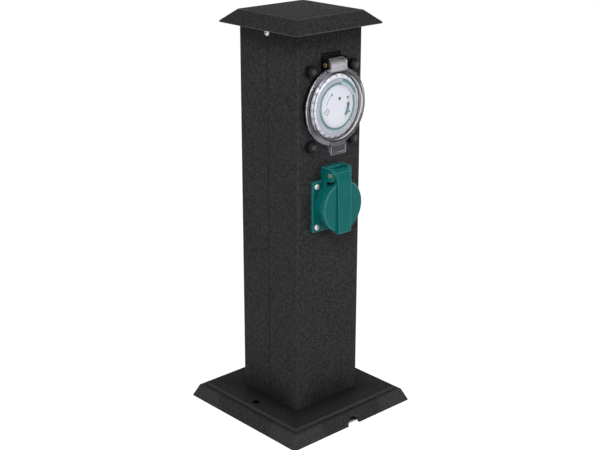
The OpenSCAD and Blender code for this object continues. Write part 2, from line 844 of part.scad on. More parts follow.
// Round sprung lid with a raised band, hinge arm and finger lip
module socket_lid() {
    color(teal) on_socket() difference() {
        union() {
            translate([0, 0, cover_back]) cylinder(r = cover_r, h = cover_t - 0.9);
            translate([0, 0, cover_front - 0.9]) cylinder(r1 = cover_r, r2 = cover_r - 0.9, h = 0.9);
            intersection() {
                linear_extrude(40) band_outline();
                across(band_w) polygon([[lip_y, cover_back], [lip_y, band_low_front - 0.4], [lip_y + 0.4, band_low_front],
                    [fold_y, band_front],
                    [arm_y + fold_r * cos(fold_turn), arm_off + fold_r * sin(fold_turn)],
                    [arm_y, arm_off], [arm_y - 6, cover_back]]);
            }
            translate([0, arm_y, arm_off]) rotate([0, 90, 0]) {
                cylinder(r = knuckle2_r, h = 2 * arm_half, center = true);
            }
        }
        translate([0, arm_y, arm_off]) rotate([0, 90, 0]) {
            cylinder(r = pin_r + fit, h = 40, center = true);
            cylinder(r = spring_r + spring_wire, h = 2 * spring_half + 1, center = true);
        }
        translate([-spring_half - 0.5, arm_y - 6, arm_off - 8]) cube([2 * spring_half + 1, 14, 8.8]);
        translate([0, 0, cover_back - 1]) cylinder(r = well_r - 0.6, h = 2.4);
    }
}

// Sealing disc in the underside of the socket lid
module socket_lid_seal() {
    color(rubber) on_socket() translate([0, 0, cover_back]) cylinder(r = well_r - 0.6, h = 1.4);
}

module socket_lid_pin() {
    color(brass) on_socket() translate([0, arm_y, arm_off]) rotate([0, 90, 0]) difference() {
        cylinder(r = pin_r, h = 2 * ear2_out + 0.8, center = true);
        for (s = [-1, 1]) {
            translate([0, 0, s * ear2_out]) cylinder(r = 0.95, h = 5, center = true);
        }
    }
}

// Torsion spring: one unbroken tube along a helix with a straight leg at its fixed end
spring_steps = 8 * spring_turns;
spring_leg = arm_off - bridge_front - 0.8;
spring_pitch = (2 * spring_half - spring_wire) / spring_turns;
spring_path = [
    [spring_wire / 2 - spring_half, -spring_r, -spring_leg],
    for (i = [0:spring_steps]) [
        spring_wire / 2 - spring_half + spring_pitch * i / 8,
        -spring_r * cos(45 * i),
        spring_r * sin(45 * i)]];
spring_last = len(spring_path) - 1;
spring_ring = [for (i = [0:spring_last])
    let (a = spring_path[max(i - 1, 0)], b = spring_path[min(i + 1, spring_last)], t = (b - a) / norm(b - a))
    let (u0 = cross(t, [1, 0, 0]), u = u0 / norm(u0), v = cross(u, t))
    for (k = [0:5]) spring_path[i] + spring_wire / 2 * (cos(60 * k) * u + sin(60 * k) * v)];
spring_gap = min([for (i = [1:8]) for (j = [i + 6:min(i + 10, spring_last)])
    norm(spring_path[i] - spring_path[j])]) - spring_wire;
echo(least_spring_gap = spring_gap);

module socket_lid_spring() {
    count = len(spring_path);
    color(steel) on_socket() translate([0, arm_y, arm_off]) polyhedron(
        spring_ring,
        [[for (k = [0:5]) k],
            for (i = [0:count - 2]) for (k = [0:5]) each [
                [6 * i + k, 6 * i + 6 + k, 6 * i + 6 + (k + 1) % 6],
                [6 * i + k, 6 * i + 6 + (k + 1) % 6, 6 * i + (k + 1) % 6]],
            [for (k = [5:-1:0]) 6 * (count - 1) + k]]);
}

// Three-way terminal block on the rear wall
module terminal_block() {
    color(white) translate([-20, inner - 16, block_z]) difference() {
        cube([40, 16, block_h]);
        for (x = [8, 20, 32]) {
            translate([x, 7, -1]) cylinder(r = 2.2, h = 7);
        }
        for (x = [14, 26]) {
            translate([x, -1, block_h / 2]) rotate([-90, 0, 0]) cylinder(r = 2.1, h = 20);
        }
    }
}

module wall_studs() {
    color(steel) {
        for (x = [-6, 6]) {
            translate([x, inner, block_z + block_h / 2]) rotate([90, 0, 0]) cylinder(r = 2, h = 20);
        }
        translate([stud_x, inner, block_z + block_h / 2]) rotate([90, 0, 0]) cylinder(r = 2, h = 20);
    }
}

module stud_nuts() {
    color(steel) {
        for (x = [-6, 6]) {
            translate([x, inner - 16, block_z + block_h / 2]) rotate([90, 0, 0]) stud_nut();
        }
        translate([stud_x, inner - 3, block_z + block_h / 2]) rotate([90, 0, 0]) stud_nut();
    }
}

module stud_nut() {
    difference() {
        hexagon(7, 3.2);
        translate([0, 0, -1]) cylinder(r = 2 + fit, h = 6);
    }
}

// Wire along a path of square turns, with a round bend at each turn
module wire(path) {
    last = len(path) - 1;
    for (i = [0:last - 1]) {
        d = (path[i + 1] - path[i]) / norm(path[i + 1] - path[i]);
        a = path[i] + d * (i > 0 ? bend_r : 0);
        b = path[i + 1] - d * (i < last - 1 ? bend_r : 0);
        along(a, d) cylinder(r = wire_r, h = norm(b - a));
        if (i < last - 1) {
            e = (path[i + 2] - path[i + 1]) / norm(path[i + 2] - path[i + 1]);
            turned(path[i + 1] - d * bend_r + e * bend_r, -e, d) {
                rotate_extrude(angle = 90) translate([bend_r, 0]) circle(wire_r);
            }
        }
    }
}

// Frame with its z axis along a square direction
module along(p, d) {
    u = abs(d[2]) > 0.5 ? [1, 0, 0] : [0, 0, 1];
    turned(p, u, cross(d, u)) children();
}

// Frame with given x and y axes
module turned(p, u, v) {
    w = cross(u, v);
    multmatrix([[u[0], v[0], w[0], p[0]], [u[1], v[1], w[1], p[1]], [u[2], v[2], w[2], p[2]], [0, 0, 0, 1]]) children();
}

wire_y = -front - term_off + 3.5;
pole_y = -front - back_off + 3;
block_wire_y = inner - 9;

module live_wires() {
    color([0.35, 0.20, 0.12]) {
        wire([[term_x[2], wire_y, timer_z - 4.5], [term_x[2], wire_y, socket_z], [pole_x, pole_y, socket_z]]);
        wire([[term_x[3], wire_y, timer_z - 4.5], [term_x[3], wire_y, wire_back_z],
            [term_x[3], block_wire_y, wire_back_z], [term_x[3], block_wire_y, wire_side_z],
            [block_wire_x, block_wire_y, wire_side_z], [block_wire_x, block_wire_y, block_top]]);
    }
}

module neutral_wires() {
    color([0.15, 0.30, 0.60]) {
        wire([[term_x[1], wire_y, timer_z - 4.5], [term_x[1], wire_y, socket_z], [-pole_x, pole_y, socket_z]]);
        wire([[term_x[0], wire_y, timer_z - 4.5], [term_x[0], wire_y, wire_back_z],
            [term_x[0], block_wire_y, wire_back_z], [term_x[0], block_wire_y, wire_side_z],
            [-block_wire_x, block_wire_y, wire_side_z], [-block_wire_x, block_wire_y, block_top]]);
    }
}

module earth_wires() {
    y = socket_z - well_r + 3.45;
    z = -front - back_off - 1;
    color([0.45, 0.60, 0.20]) {
        wire([[0, z, y], [0, block_wire_y, y], [0, block_wire_y, block_top]]);
    }
}

base_tray();
foot_plate();
base_screws();
base_nuts();
post_tube();
seam_strip();
top_cap();
cap_screws();
timer_gasket();
timer_frame();
timer_bolts();
timer_nuts();
timer_case();
timer_cover();
timer_motor();
drive_pinion();
switch_block();
timer_terminals();
spindle();
dial();
dial_track();
trippers_off();
trippers_on();
tripper_slide();
face_disc();
override_lever();
lid_seal();
timer_lid();
timer_lid_pin();
socket_gasket();
socket_body();
socket_screws();
socket_nuts();
socket_insert();
contact_tubes();
earth_contacts();
socket_lid();
socket_lid_seal();
socket_lid_pin();
socket_lid_spring();
terminal_block();
wall_studs();
stud_nuts();
live_wires();
neutral_wires();
earth_wires();
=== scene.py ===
"""Looks of a garden power post with a clock timer under a clear lid and a covered socket outlet.

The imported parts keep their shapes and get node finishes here. The folded cap, the lid spring, the ribbed
edge of the dial and all printed marks are surfaces worked out below. Lengths are metres in the frame of the
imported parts: the origin is the centre of the underside of the base, +Z is up, and the timer and the socket
look along -Y.
"""

import json
import math

import bmesh
import bpy
import numpy as np
from bpy.props import FloatProperty, FloatVectorProperty, IntProperty, PointerProperty
from bpy.types import Operator, Panel, PropertyGroup
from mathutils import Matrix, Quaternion, Vector


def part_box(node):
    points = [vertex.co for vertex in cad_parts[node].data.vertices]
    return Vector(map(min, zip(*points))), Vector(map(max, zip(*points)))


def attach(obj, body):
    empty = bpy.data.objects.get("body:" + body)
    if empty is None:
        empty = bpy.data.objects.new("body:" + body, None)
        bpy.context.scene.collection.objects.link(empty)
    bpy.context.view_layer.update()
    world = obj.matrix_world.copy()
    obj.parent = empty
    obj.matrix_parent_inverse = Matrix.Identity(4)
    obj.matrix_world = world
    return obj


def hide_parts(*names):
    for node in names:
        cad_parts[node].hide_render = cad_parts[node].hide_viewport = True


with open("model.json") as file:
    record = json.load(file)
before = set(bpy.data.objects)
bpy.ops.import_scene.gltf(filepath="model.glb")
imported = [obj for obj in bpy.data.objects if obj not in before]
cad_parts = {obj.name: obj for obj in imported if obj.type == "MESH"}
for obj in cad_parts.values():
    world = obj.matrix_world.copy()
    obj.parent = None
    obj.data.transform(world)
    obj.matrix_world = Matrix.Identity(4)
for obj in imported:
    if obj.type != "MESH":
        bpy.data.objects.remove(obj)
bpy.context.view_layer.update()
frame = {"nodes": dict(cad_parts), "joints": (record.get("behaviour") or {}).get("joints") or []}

bl_info = {
    "name": "Garden power post looks",
    "version": (1, 0, 0),
    "blender": (4, 5, 0),
    "location": "3D View > Sidebar > Garden post",
    "description": "Finishes, printed marks and studio for a garden power post",
    "category": "Object",
}

MM = 0.001


def joint_place(name):
    """Point on a joint's axis at rest."""
    return next(joint for joint in frame["joints"] if joint["name"] == name)["pos_m"]


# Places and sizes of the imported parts
FACE_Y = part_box("post_tube")[0].y
DIAL_Z = joint_place("dial_turn")[2]
HINGE_RISE = joint_place("timer_lid_hinge")[2] - DIAL_Z
SPRING_PLACE = joint_place("socket_lid_hinge")
DIAL_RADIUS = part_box("dial")[1].x
DISC_FRONT = FACE_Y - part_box("face_disc")[0].y
CAP_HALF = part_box("top_cap")[1].x
CAP_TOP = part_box("top_cap")[1].z
TONGUE_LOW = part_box("top_cap")[0].z
POST_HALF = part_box("post_tube")[1].x
POST_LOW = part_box("post_tube")[0].z
BASE_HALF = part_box("base_tray")[1].x
PLATE_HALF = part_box("foot_plate")[1].x
BOLT_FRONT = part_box("timer_bolts")[0].y

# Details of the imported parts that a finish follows
PIN_HOLE = 1.25 * MM
# Colour of the painted shade in the hollow ends of the hinge pins
PIN_HOLLOW_SHADE = (0.006, 0.004, 0.002)
GROUND_HALF = PLATE_HALF - 9.5 * MM
GROUND_RADIUS = 3.25 * MM
TIP_RADIUS = 23.3 * MM

# Soft borders on the clear lid: the radii about the dial's axis where each mask is 0 and 1
LID_BORDERS = {
    "wall": (30.7 * MM, 31.3 * MM),
    "bevel": (31.6 * MM, 31.9 * MM),
    "foot": (32.2 * MM, 32.8 * MM),
    "flange": (32.65 * MM, 33.0 * MM),
    "rim": (36.2 * MM, 36.8 * MM),
    "end": (37.2 * MM, 37.6 * MM),
}

# Height of the painted shade on the post, its clear width beside bends, and its width on the foot plate round
# the post
SHADE_RISE, SHADE_CLEAR, SHADE_SPREAD = 34 * MM, 25 * MM, 22 * MM

# Depths below the top of the cap where the cap's painted shadow ends and where it is full
CAP_SHADOW_END, CAP_SHADOW_FULL = 45 * MM, 12 * MM

# Depth by which prints reach into what they are printed on
INK_SINK = 0.02 * MM

# Soft lamps: place, side of the square, power, and whether reflections show the lamp
LAMPS = {
    "key_lamp": ((-0.95, -1.08, 1.55), 0.5, 18, True),
    "front_lamp": ((0.9, -1.75, 0.8), 0.7, 12, False),
    "left_lamp": ((-1.95, 0.15, 0.85), 1.1, 8, True),
}
LAMP_AIM = Vector((0, 0, 0.2))


def rgb(name, description, default):
    """A linear colour that the user may change. One number stands for a grey."""
    three = default if isinstance(default, tuple) else (default,) * 3
    return FloatVectorProperty(
        name=name, description=description, default=three, subtype="COLOR", min=0, max=1, size=3
    )


def metres(name, description, default):
    """A length in metres that the user may change."""
    return FloatProperty(name=name, description=description, default=default, unit="LENGTH", precision=5)


def degrees(name, description, default):
    """An angle that the user may change, with its default in degrees."""
    return FloatProperty(name=name, description=description, default=math.radians(default), subtype="ANGLE")


def number(name, description, default, low, high):
    """A whole number that the user may change between two limits."""
    return IntProperty(name=name, description=description, default=default, min=low, max=high)


class StageSettings(PropertyGroup):
    """Camera, floor and sky."""

    azimuth: degrees("Azimuth", "Turn of the camera round the post", -42.48)
    elevation: degrees("Elevation", "Height angle of the camera", 19.15)
    roll: degrees("Roll", "Turn of the picture", 0.08)
    distance: metres("Distance", "Camera to the point it looks at", 1.1805)
    aim_height: metres("Aim height", "Height of the point that the camera looks at", 0.1883)
    aim_side: metres("Aim side", "Shift of that point to the right in the picture", -0.27 * MM)
    lens: FloatProperty(name="Lens", description="Focal length", default=72, unit="CAMERA")
    sensor: FloatProperty(name="Sensor", description="Width of the sensor", default=36, unit="CAMERA")
    floor_half: metres("Floor", "Half width of the floor", 9.0)
    floor_level: metres("Floor level", "Height of the floor", -0.05 * MM)
    floor_colour: rgb("Floor colour", "Paint and glow of the floor", 0.86)
    floor_veil: rgb("Floor veil", "Paint that shows shadows on the glowing floor", 0.42)
    sky: FloatProperty(name="Sky", description="Strength of the even light from all sides", default=0.30)
    ceiling: FloatProperty(name="Ceiling", description="Strength overhead in reflections", default=0.4)


class CoatSettings(PropertyGroup):
    """Powder coat of the steel and the folded cap."""

    dark: rgb("Dark grain", "Hollows of the powder coat", (0.017, 0.017, 0.0175))
    light: rgb("Light grain", "Crests of the powder coat", (0.0415, 0.0415, 0.0435))
    # Colour of the painted glints on scattered grains of the powder coat
    glint: rgb("Glint", "Bright grains of the powder coat", (0.095, 0.095, 0.10))
    grain: metres("Grain", "Size of the powder grains", 1.0 * MM)
    relief: metres("Relief", "Depth of the powder grains", 0.19 * MM)
    # Colour and width of the painted highlights along folds, bends and edges
    worn: rgb("Worn edge", "Coat on folds and edges, where it is thin", (0.14, 0.137, 0.13))
    wear_reach: metres("Wear reach", "Width of the thin coat beside an edge", 0.9 * MM)
    # Colour of the painted shade in corners and holes, at the foot of the post and under the cap
    soil: rgb("Soil", "Dirt in corners and holes and soot under the cap", 0.002)
    cap_height: metres("Cap height", "Height of the folded cap", 12.5 * MM)
    cap_lip: metres("Cap lip", "Height of the upright lip", 1.4 * MM)
    cap_flat: metres("Cap flat", "Half width of the flat top of the cap", 41.75 * MM)
    cap_sheet: metres("Cap sheet", "Sheet thickness of the cap", 1.5 * MM)
    cap_corner: metres("Cap corner", "Radius of the cap's upright corners", 2.2 * MM)
    tongue_half: metres("Tongue", "Half width of the screwed tongues", 10 * MM)


class MetalSettings(PropertyGroup):
    """Screws, pins, contacts and springs."""

    bright: rgb("Bright steel", "Screws that show", (0.78, 0.77, 0.76))
    zinc: rgb("Zinc", "Screws, nuts and studs inside", (0.62, 0.63, 0.64))
    # The timer pin's brass is a darker copy of the socket pin's: painted shade
    timer_pin: rgb("Timer pin", "Brass pin of the timer lid", (0.66, 0.45, 0.16))
    socket_pin: rgb("Socket pin", "Brass pin of the socket lid", (0.98, 0.68, 0.27))
    brass: rgb("Brass", "Contacts and terminals", (0.92, 0.70, 0.36))
    spring: rgb("Spring steel", "Lid spring", (0.55, 0.55, 0.56))


class TimerSettings(PropertyGroup):
    """Mouldings, dial, prints and clear lid of the timer."""

    black: rgb("Black", "Frame, case and bolts", (0.006, 0.006, 0.0065))
    # Colour of the painted highlight on top of the bolts' domes
    dome: rgb("Dome", "Domed tops of the bolts", (0.050, 0.050, 0.054))
    white: rgb("White", "Centre disc", (0.55, 0.565, 0.585))
    grey: rgb("Grey", "Trippers", (0.37, 0.39, 0.415))
    green: rgb("Green", "Track under the trippers", (0.045, 0.155, 0.15))
    lever: rgb("Lever", "Upper end of the hand switch", (0.045, 0.045, 0.055))
    ink: rgb("Ink", "Printed marks", (0.015, 0.10, 0.10))
    dark_ink: rgb("Dark ink", "Setting hole and clock hands", (0.012, 0.012, 0.015))
    clear: rgb("Clear", "Tint of the clear lid", (0.965, 0.96, 0.98))
    thick: rgb("Thick", "Tint of the lid's flange", (0.56, 0.55, 0.59))
    bevel: rgb("Bevel", "Tint of the bevel round the lid's drum", (0.25, 0.225, 0.29))
    rim: rgb("Rim", "Tint of the lid's rim", (0.2, 0.195, 0.21))
    # Frost colour, also the colour of the painted highlight on the pull tab's edges
    frost: rgb("Frost", "Frosted knuckle of the lid", (0.66, 0.645, 0.69))
    veil: rgb("Veil", "Shade that the lid throws", (0.90, 0.90, 0.93))
    ring: rgb("Ring", "Number ring of the dial", (0.64, 0.655, 0.685))
    hours: number("Hours", "Numbers round the dial", 24, 12, 24)
    quarters: number("Quarters", "Fine strokes in each hour", 4, 1, 4)
    number_size: metres("Number size", "Height of the printed numbers", 3.3 * MM)
    number_radius: metres("Number radius", "Radius of the numbers", 28.7 * MM)
    ring_inner: metres("Ring radius", "Inner radius of the number ring", 26.55 * MM)
    ring_front: metres("Ring front", "Front of the number ring at its inner edge", 8.6 * MM)
    ring_slope: FloatProperty(name="Ring slope", description="Fall of the ring per radius", default=0.75)
    ink_rise: metres("Ink rise", "Thickness of the print", 0.04 * MM)
    grip_ribs: number("Grip ribs", "Ribs on the edge of the dial", 120, 60, 180)
    grip_rise: metres("Grip rise", "Height of the ribs", 0.45 * MM)
    grip_back: metres("Grip back", "Back of the ribs from the post face", 3.1 * MM)


class SocketSettings(PropertyGroup):
    """Teal mouldings and the lid spring of the socket."""

    teal: rgb("Teal", "Colour of the mouldings", (0.0012, 0.118, 0.115))
    # Colour of the painted highlights on the outer edges of the mouldings
    pale: rgb("Pale teal", "Rubbed edges of the mouldings", (0.13, 0.38, 0.36))
    coil_radius: metres("Coil radius", "Radius of the spring at the middle of its wire", 3.0 * MM)
    coil_wire: metres("Spring wire", "Thickness of the spring wire", 0.8 * MM)
    coil_half: metres("Coil half", "Half length of the spring", 4.0 * MM)
    coil_turns: number("Coil turns", "Turns of the spring", 5, 3, 8)
    coil_leg: metres("Spring leg", "Length of the straight leg", 5.0 * MM)


class Flow:
    """A shader value: one output socket, with the arithmetic that the finishes need."""

    def __init__(self, finish, socket):
        self.finish = finish
        self.socket = socket

    def _math(self, operation, first, second=0.0):
        return self.finish.node("Math", {"operation": operation}, {0: first, 1: second})

    def __add__(self, other):
        return self._math("ADD", self, other)

    def __sub__(self, other):
        return self._math("SUBTRACT", self, other)

    def __rsub__(self, other):
        return self._math("SUBTRACT", other, self)

    def __mul__(self, other):
        return self._math("MULTIPLY", self, other)

    def __abs__(self):
        return self._math("ABSOLUTE", self)

    def larger(self, other):
        """The larger of two values."""
        return self._math("MAXIMUM", self, other)

    def smaller(self, other):
        """The smaller of two values."""
        return self._math("MINIMUM", self, other)

    __radd__ = __add__
    __rmul__ = __mul__


class Finish:
    """One node material, with object coordinates at hand."""

    def __init__(self, name):
        self.material = bpy.data.materials.new(name)
        self.material.use_nodes = True
        self.tree = self.material.node_tree
        self.tree.nodes.clear()
        self.place = self.node("TexCoord", output="Object")

    def node(self, kind, settings=(), values=(), output=0):
        """Adds a node, sets its settings, then its sockets by name or number, and returns one output."""
        made = self.tree.nodes.new("ShaderNode" + kind)
        for name, value in dict(settings).items():
            setattr(made, name, value)
        for key, value in dict(values).items():
            if isinstance(value, Flow):
                self.tree.links.new(value.socket, made.inputs[key])
            else:
                made.inputs[key].default_value = value
        return Flow(self, made.outputs[output]) if made.outputs else None

    def noise(self, size, detail=2.0):
        """Noise from 0 to 1 with lumps of about the given size."""
        return self.node("TexNoise", {}, {"Vector": self.place, "Scale": 1 / size, "Detail": detail})

    def along(self, axis):
        """One coordinate in metres, with axis 0, 1 or 2."""
        return self.node("SeparateXYZ", {}, {0: self.place}, axis)

    def size(self, axis):
        """One coordinate in metres without its sign."""
        return abs(self.along(axis))

    def step(self, value, low, high):
        """Smooth step from 0 at low to 1 at high."""
        ends = {"Value": value, "From Min": low, "From Max": high}
        return self.node("MapRange", {"interpolation_type": "SMOOTHSTEP"}, ends)

    def reach(self):
        """Distance from the post's axis, measured square: the larger of the two sizes across."""
        return self.size(0).larger(self.size(1))

    def beside(self, place, axes):
        """Square of the distance from a place, measured along the two given axes only."""
        first, second = (self.along(axis) - place[axis] for axis in axes)
        return first * first + second * second

    def ridge(self, radius):
        """1 on outer edges: a rounded normal leaves the face there, and nothing of the piece is near."""
        rounded = self.node("Bevel", {"samples": 4}, {"Radius": radius})
        face = self.node("NewGeometry", output="Normal")
        agree = self.node("VectorMath", {"operation": "DOT_PRODUCT"}, {0: rounded, 1: face}, "Value")
        nearby = {"samples": 4, "only_local": True}
        free = self.node("AmbientOcclusion", nearby, {"Distance": 2.5 * radius}, "AO")
        return self.step(agree, 0.99, 0.93) * self.step(free, 0.80, 0.95)

    def mix(self, share, first, second):
        """Colour between two colours."""
        return self.node("Mix", {"data_type": "RGBA"}, {0: share, 6: paint(first), 7: paint(second)}, 2)

    def surface(self, base, roughness, height=None, depth=0.0, edge=0.0, **constants):
        """Principled surface. height is raised by depth, and edge is the radius that shading rounds by."""
        values = {"Base Color": paint(base), "Roughness": roughness}
        values.update({name.replace("_", " "): value for name, value in constants.items()})
        if edge:
            values["Normal"] = self.node("Bevel", {"samples": 6}, {"Radius": edge})
        if height is not None:
            relief = {"Height": height, "Distance": depth, "Strength": 1.0}
            if edge:
                relief["Normal"] = values["Normal"]
            values["Normal"] = self.node("Bump", {}, relief)
        return self.node("BsdfPrincipled", {}, values)

    def finish(self, surface):
        """Joins the surface to the output and returns the material."""
        self.node("OutputMaterial", {}, {"Surface": surface})
        return self.material


class WorldLook(Finish):
    """The nodes of the world, made with the same method as a finish."""

    def __init__(self, world):
        self.tree = world.node_tree
        self.tree.nodes.clear()


def paint(colour):
    """A colour for a socket: a flow as it is, three numbers with an alpha of 1."""
    return colour if isinstance(colour, Flow) else (*colour, 1.0)


def scaled(colour, share):
    """A colour with each channel multiplied, at most 1."""
    return tuple(min(1.0, share * channel) for channel in colour)


def seen_rays(look):
    """1 for rays that show the background to the camera, in reflections or through clear parts."""
    kinds = ("Is Camera Ray", "Is Glossy Ray", "Is Transmission Ray")
    camera, glossy, passed = (look.node("LightPath", output=kind) for kind in kinds)
    scattered = look.node("LightPath", output="Diffuse Depth")
    straight = look.node("Math", {"operation": "LESS_THAN"}, {0: scattered, 1: 0.5})
    return camera.larger(glossy).larger(passed) * straight


def cap_wear(look, coat):
    """Painted highlights on the cap: along the fold round its flat top and along the lower edge of its lip.
    """
    reach, height = look.reach(), look.along(2)
    low = CAP_TOP - coat.cap_height
    fold = look.step(abs(reach - coat.cap_flat), 1.0 * coat.wear_reach, 0.4 * coat.wear_reach)
    top = look.step(height, CAP_TOP - 1.6 * MM, CAP_TOP - 0.8 * MM)
    lip = look.step(reach, CAP_HALF - 0.8 * MM, CAP_HALF - 0.3 * MM)
    foot = look.step(height, low + 0.9 * MM, low + 0.3 * MM)
    return fold * top * 0.28 + lip * foot * 0.65


def plate_wear(look, coat):
    """Painted highlight on the foot plate: a band along its rounded edge."""
    inner, outer = PLATE_HALF - 2.3 * coat.wear_reach, PLATE_HALF - 0.8 * coat.wear_reach
    return look.step(look.reach(), inner, outer) * 0.17


def post_wear(look, coat):
    """Painted highlight on the post, a faint band along its upright bends, and the same on the tray's
    corners.
    """
    inner, outer = POST_HALF - 2.2 * coat.wear_reach, POST_HALF - 0.7 * coat.wear_reach
    sides = [look.step(look.size(axis), inner, outer) for axis in (0, 1)]
    return sides[0] * sides[1] * 0.10


def post_shade(look):
    """Painted shade at the foot of the post, less beside its bends, and the cap's painted shadow, fading from
    the ends.
    """
    height = look.along(2)
    from_middle = look.size(0).smaller(look.size(1))
    away = look.step(from_middle, POST_HALF, POST_HALF - SHADE_CLEAR)
    foot = look.step(height, POST_LOW + SHADE_RISE, POST_LOW) * away
    head = look.step(height, CAP_TOP - CAP_SHADOW_END, CAP_TOP - CAP_SHADOW_FULL)
    return foot * 0.42 + head * 0.30


def ground_holes(look):
    """1 on the walls of the two ground holes, which get painted shade."""
    first, second = look.size(0) - GROUND_HALF, look.along(1)
    outer, inner = (1.10 * GROUND_RADIUS) ** 2, (1.05 * GROUND_RADIUS) ** 2
    return look.step(first * first + second * second, outer, inner)


def plate_dirt(look):
    """Painted shade on the foot plate round the post, and painted shade in the ground holes."""
    return look.step(look.reach(), POST_HALF + SHADE_SPREAD, POST_HALF) * 0.5 + ground_holes(look)


def plate_crevice(look):
    """Painted shade in the corner between the tray and the foot plate, and in the ground holes."""
    corner = look.step(look.reach(), PLATE_HALF + 3.0 * MM, PLATE_HALF + 0.3 * MM)
    return corner * 0.4 + ground_holes(look) * 0.6


def powder_coat(coat, name, painted_highlight, painted_shade=None, shade=1.0):
    """Black powder coat: fine lumps over broader ones, paler on the crests, with painted glints and a faint
    mottle.

    The first function gives the share of painted highlight along folds and edges, the second the share of
    painted shade, and shade scales the colours of the coat, so that a darker copy is painted shade and a
    lighter one painted light.
    """
    look = Finish(name)
    lumps = look.noise(coat.grain * 0.9, 3) * 0.6 + look.noise(coat.grain * 2.2, 2) * 0.4
    mottle = look.noise(coat.grain * 45, 2)
    crest = look.step(lumps + mottle * 0.05, 0.395, 0.655)
    # Painted glints on scattered grains, which are also smoother
    spark = look.step(look.noise(coat.grain * 1.1, 0), 0.66, 0.80)
    dark, light, glint = (scaled(colour, shade) for colour in (coat.dark, coat.light, coat.glint))
    base = look.mix(spark * 0.3, look.mix(crest, dark, light), glint)
    base = look.mix(painted_highlight(look, coat), base, coat.worn)
    if painted_shade:
        base = look.mix(painted_shade(look), base, coat.soil)
    rough = 0.60 - crest * 0.08 - spark * 0.15
    return look.finish(look.surface(base, rough, lumps, coat.relief, Specular_IOR_Level=0.03))


def bare_primer():
    """Very dark paint on the strip behind the seam, so that the seam's gap shows as a dark line: painted
    shade.
    """
    look = Finish("bare_primer")
    hollow, crest = (0.0025,) * 3, (0.006,) * 3
    cloud = look.noise(6 * MM, 3)
    base = look.mix(cloud, hollow, crest)
    return look.finish(look.surface(base, 0.75 + cloud * 0.1, cloud, 0.05 * MM, Specular_IOR_Level=0.03))


def moulded(name, colour, rough, level, edge=0.0, grain=0.6 * MM, shift=0.12, pale=None, tip=None):
    """Moulded plastic: one colour with slow shade changes, a fine skin and slightly uneven gloss.

    level is the strength of its reflections, shift the share by which its shade changes, pale the colour of
    painted highlights on outer edges, and tip the colour of the outer ends round the dial.
    """
    look = Finish(name)
    slow = look.noise(14 * MM, 2)
    skin = look.noise(grain, 2)
    base = look.mix(look.step(slow, 0.3, 0.7), scaled(colour, 1 - shift), scaled(colour, 1 + shift))
    if pale is not None:
        # Painted highlights on outer edges
        base = look.mix(look.ridge(1.3 * edge) * 0.8, base, pale)
    if tip is not None:
        out = look.beside((0, 0, DIAL_Z), (0, 2))
        base = look.mix(look.step(out, (0.995 * TIP_RADIUS) ** 2, (1.005 * TIP_RADIUS) ** 2), base, tip)
    gloss = rough - 0.04 + skin * 0.06 + slow * 0.03
    return look.finish(look.surface(base, gloss, skin, 0.012 * MM, edge, Specular_IOR_Level=level))


def plated(name, colour, rough, edge=0.12 * MM, share=1.0, pin=None):
    """Plated or drawn metal: fine scratches, slight stains and a soft uneven gloss.

    share is how far it is metal, and pin a place on the axis of a pin along X, whose hollow ends get painted
    shade.
    """
    look = Finish(name)
    stain = look.noise(2.5 * MM, 3)
    scratch = look.noise(0.25 * MM, 2)
    base = look.mix(look.step(stain, 0.35, 0.75), colour, scaled(colour, 0.78))
    if pin is not None:
        inside = look.step(look.beside(pin, (1, 2)), PIN_HOLE**2, 0.8 * PIN_HOLE**2)
        base = look.mix(inside, base, PIN_HOLLOW_SHADE)
    gloss = rough + scratch * 0.10 + stain * 0.05
    return look.finish(look.surface(base, gloss, scratch, 0.006 * MM, edge, Metallic=share))


def domed_bolt(timer):
    """Black bolts: dark hexagons with a smoother dome, whose top gets a painted highlight."""
    look = Finish("bolt_coat")
    skin = look.noise(0.5 * MM, 2)
    dome = look.step(look.along(1), BOLT_FRONT + 1.5 * MM, BOLT_FRONT + 0.2 * MM)
    base = look.mix(dome, timer.black, timer.dome)
    gloss = 0.42 - dome * 0.10 + skin * 0.06
    return look.finish(look.surface(base, gloss, skin, 0.01 * MM, 0.4 * MM, Specular_IOR_Level=0.15))


def soft_rubber():
    """Black rubber with a dusty bloom."""
    look = Finish("soft_rubber")
    clean, dusty = (0.014,) * 3, (0.024,) * 3
    bloom = look.noise(3 * MM, 3)
    skin = look.noise(0.4 * MM, 2)
    base = look.mix(look.step(bloom, 0.45, 0.8), clean, dusty)
    return look.finish(look.surface(base, 0.70 + skin * 0.15, skin, 0.02 * MM, Specular_IOR_Level=0.06))


def striped_wire(first, second):
    """Wire insulation with a second colour in slanted stripes along its length."""
    look = Finish("striped_wire")
    stripe_rate = 300
    turn = (look.along(0) + look.along(1) + look.along(2)) * stripe_rate
    wave = look.node("Math", {"operation": "SINE"}, {0: turn})
    base = look.mix(look.step(wave, -0.1, 0.1), first, second)
    return look.finish(look.surface(base, 0.42 + look.noise(1 * MM) * 0.08))


def lever_plastic(timer):
    """Hand switch: dark at its upper end and green below, with an uneven border."""
    look = Finish("lever_plastic")
    height = look.along(2) + look.noise(0.8 * MM) * 0.6 * MM
    base = look.mix(look.step(height, DIAL_Z + 1.5 * MM, DIAL_Z - 4.0 * MM), timer.lever, timer.green)
    return look.finish(look.surface(base, 0.38 + look.noise(0.5 * MM) * 0.06, edge=0.2 * MM))


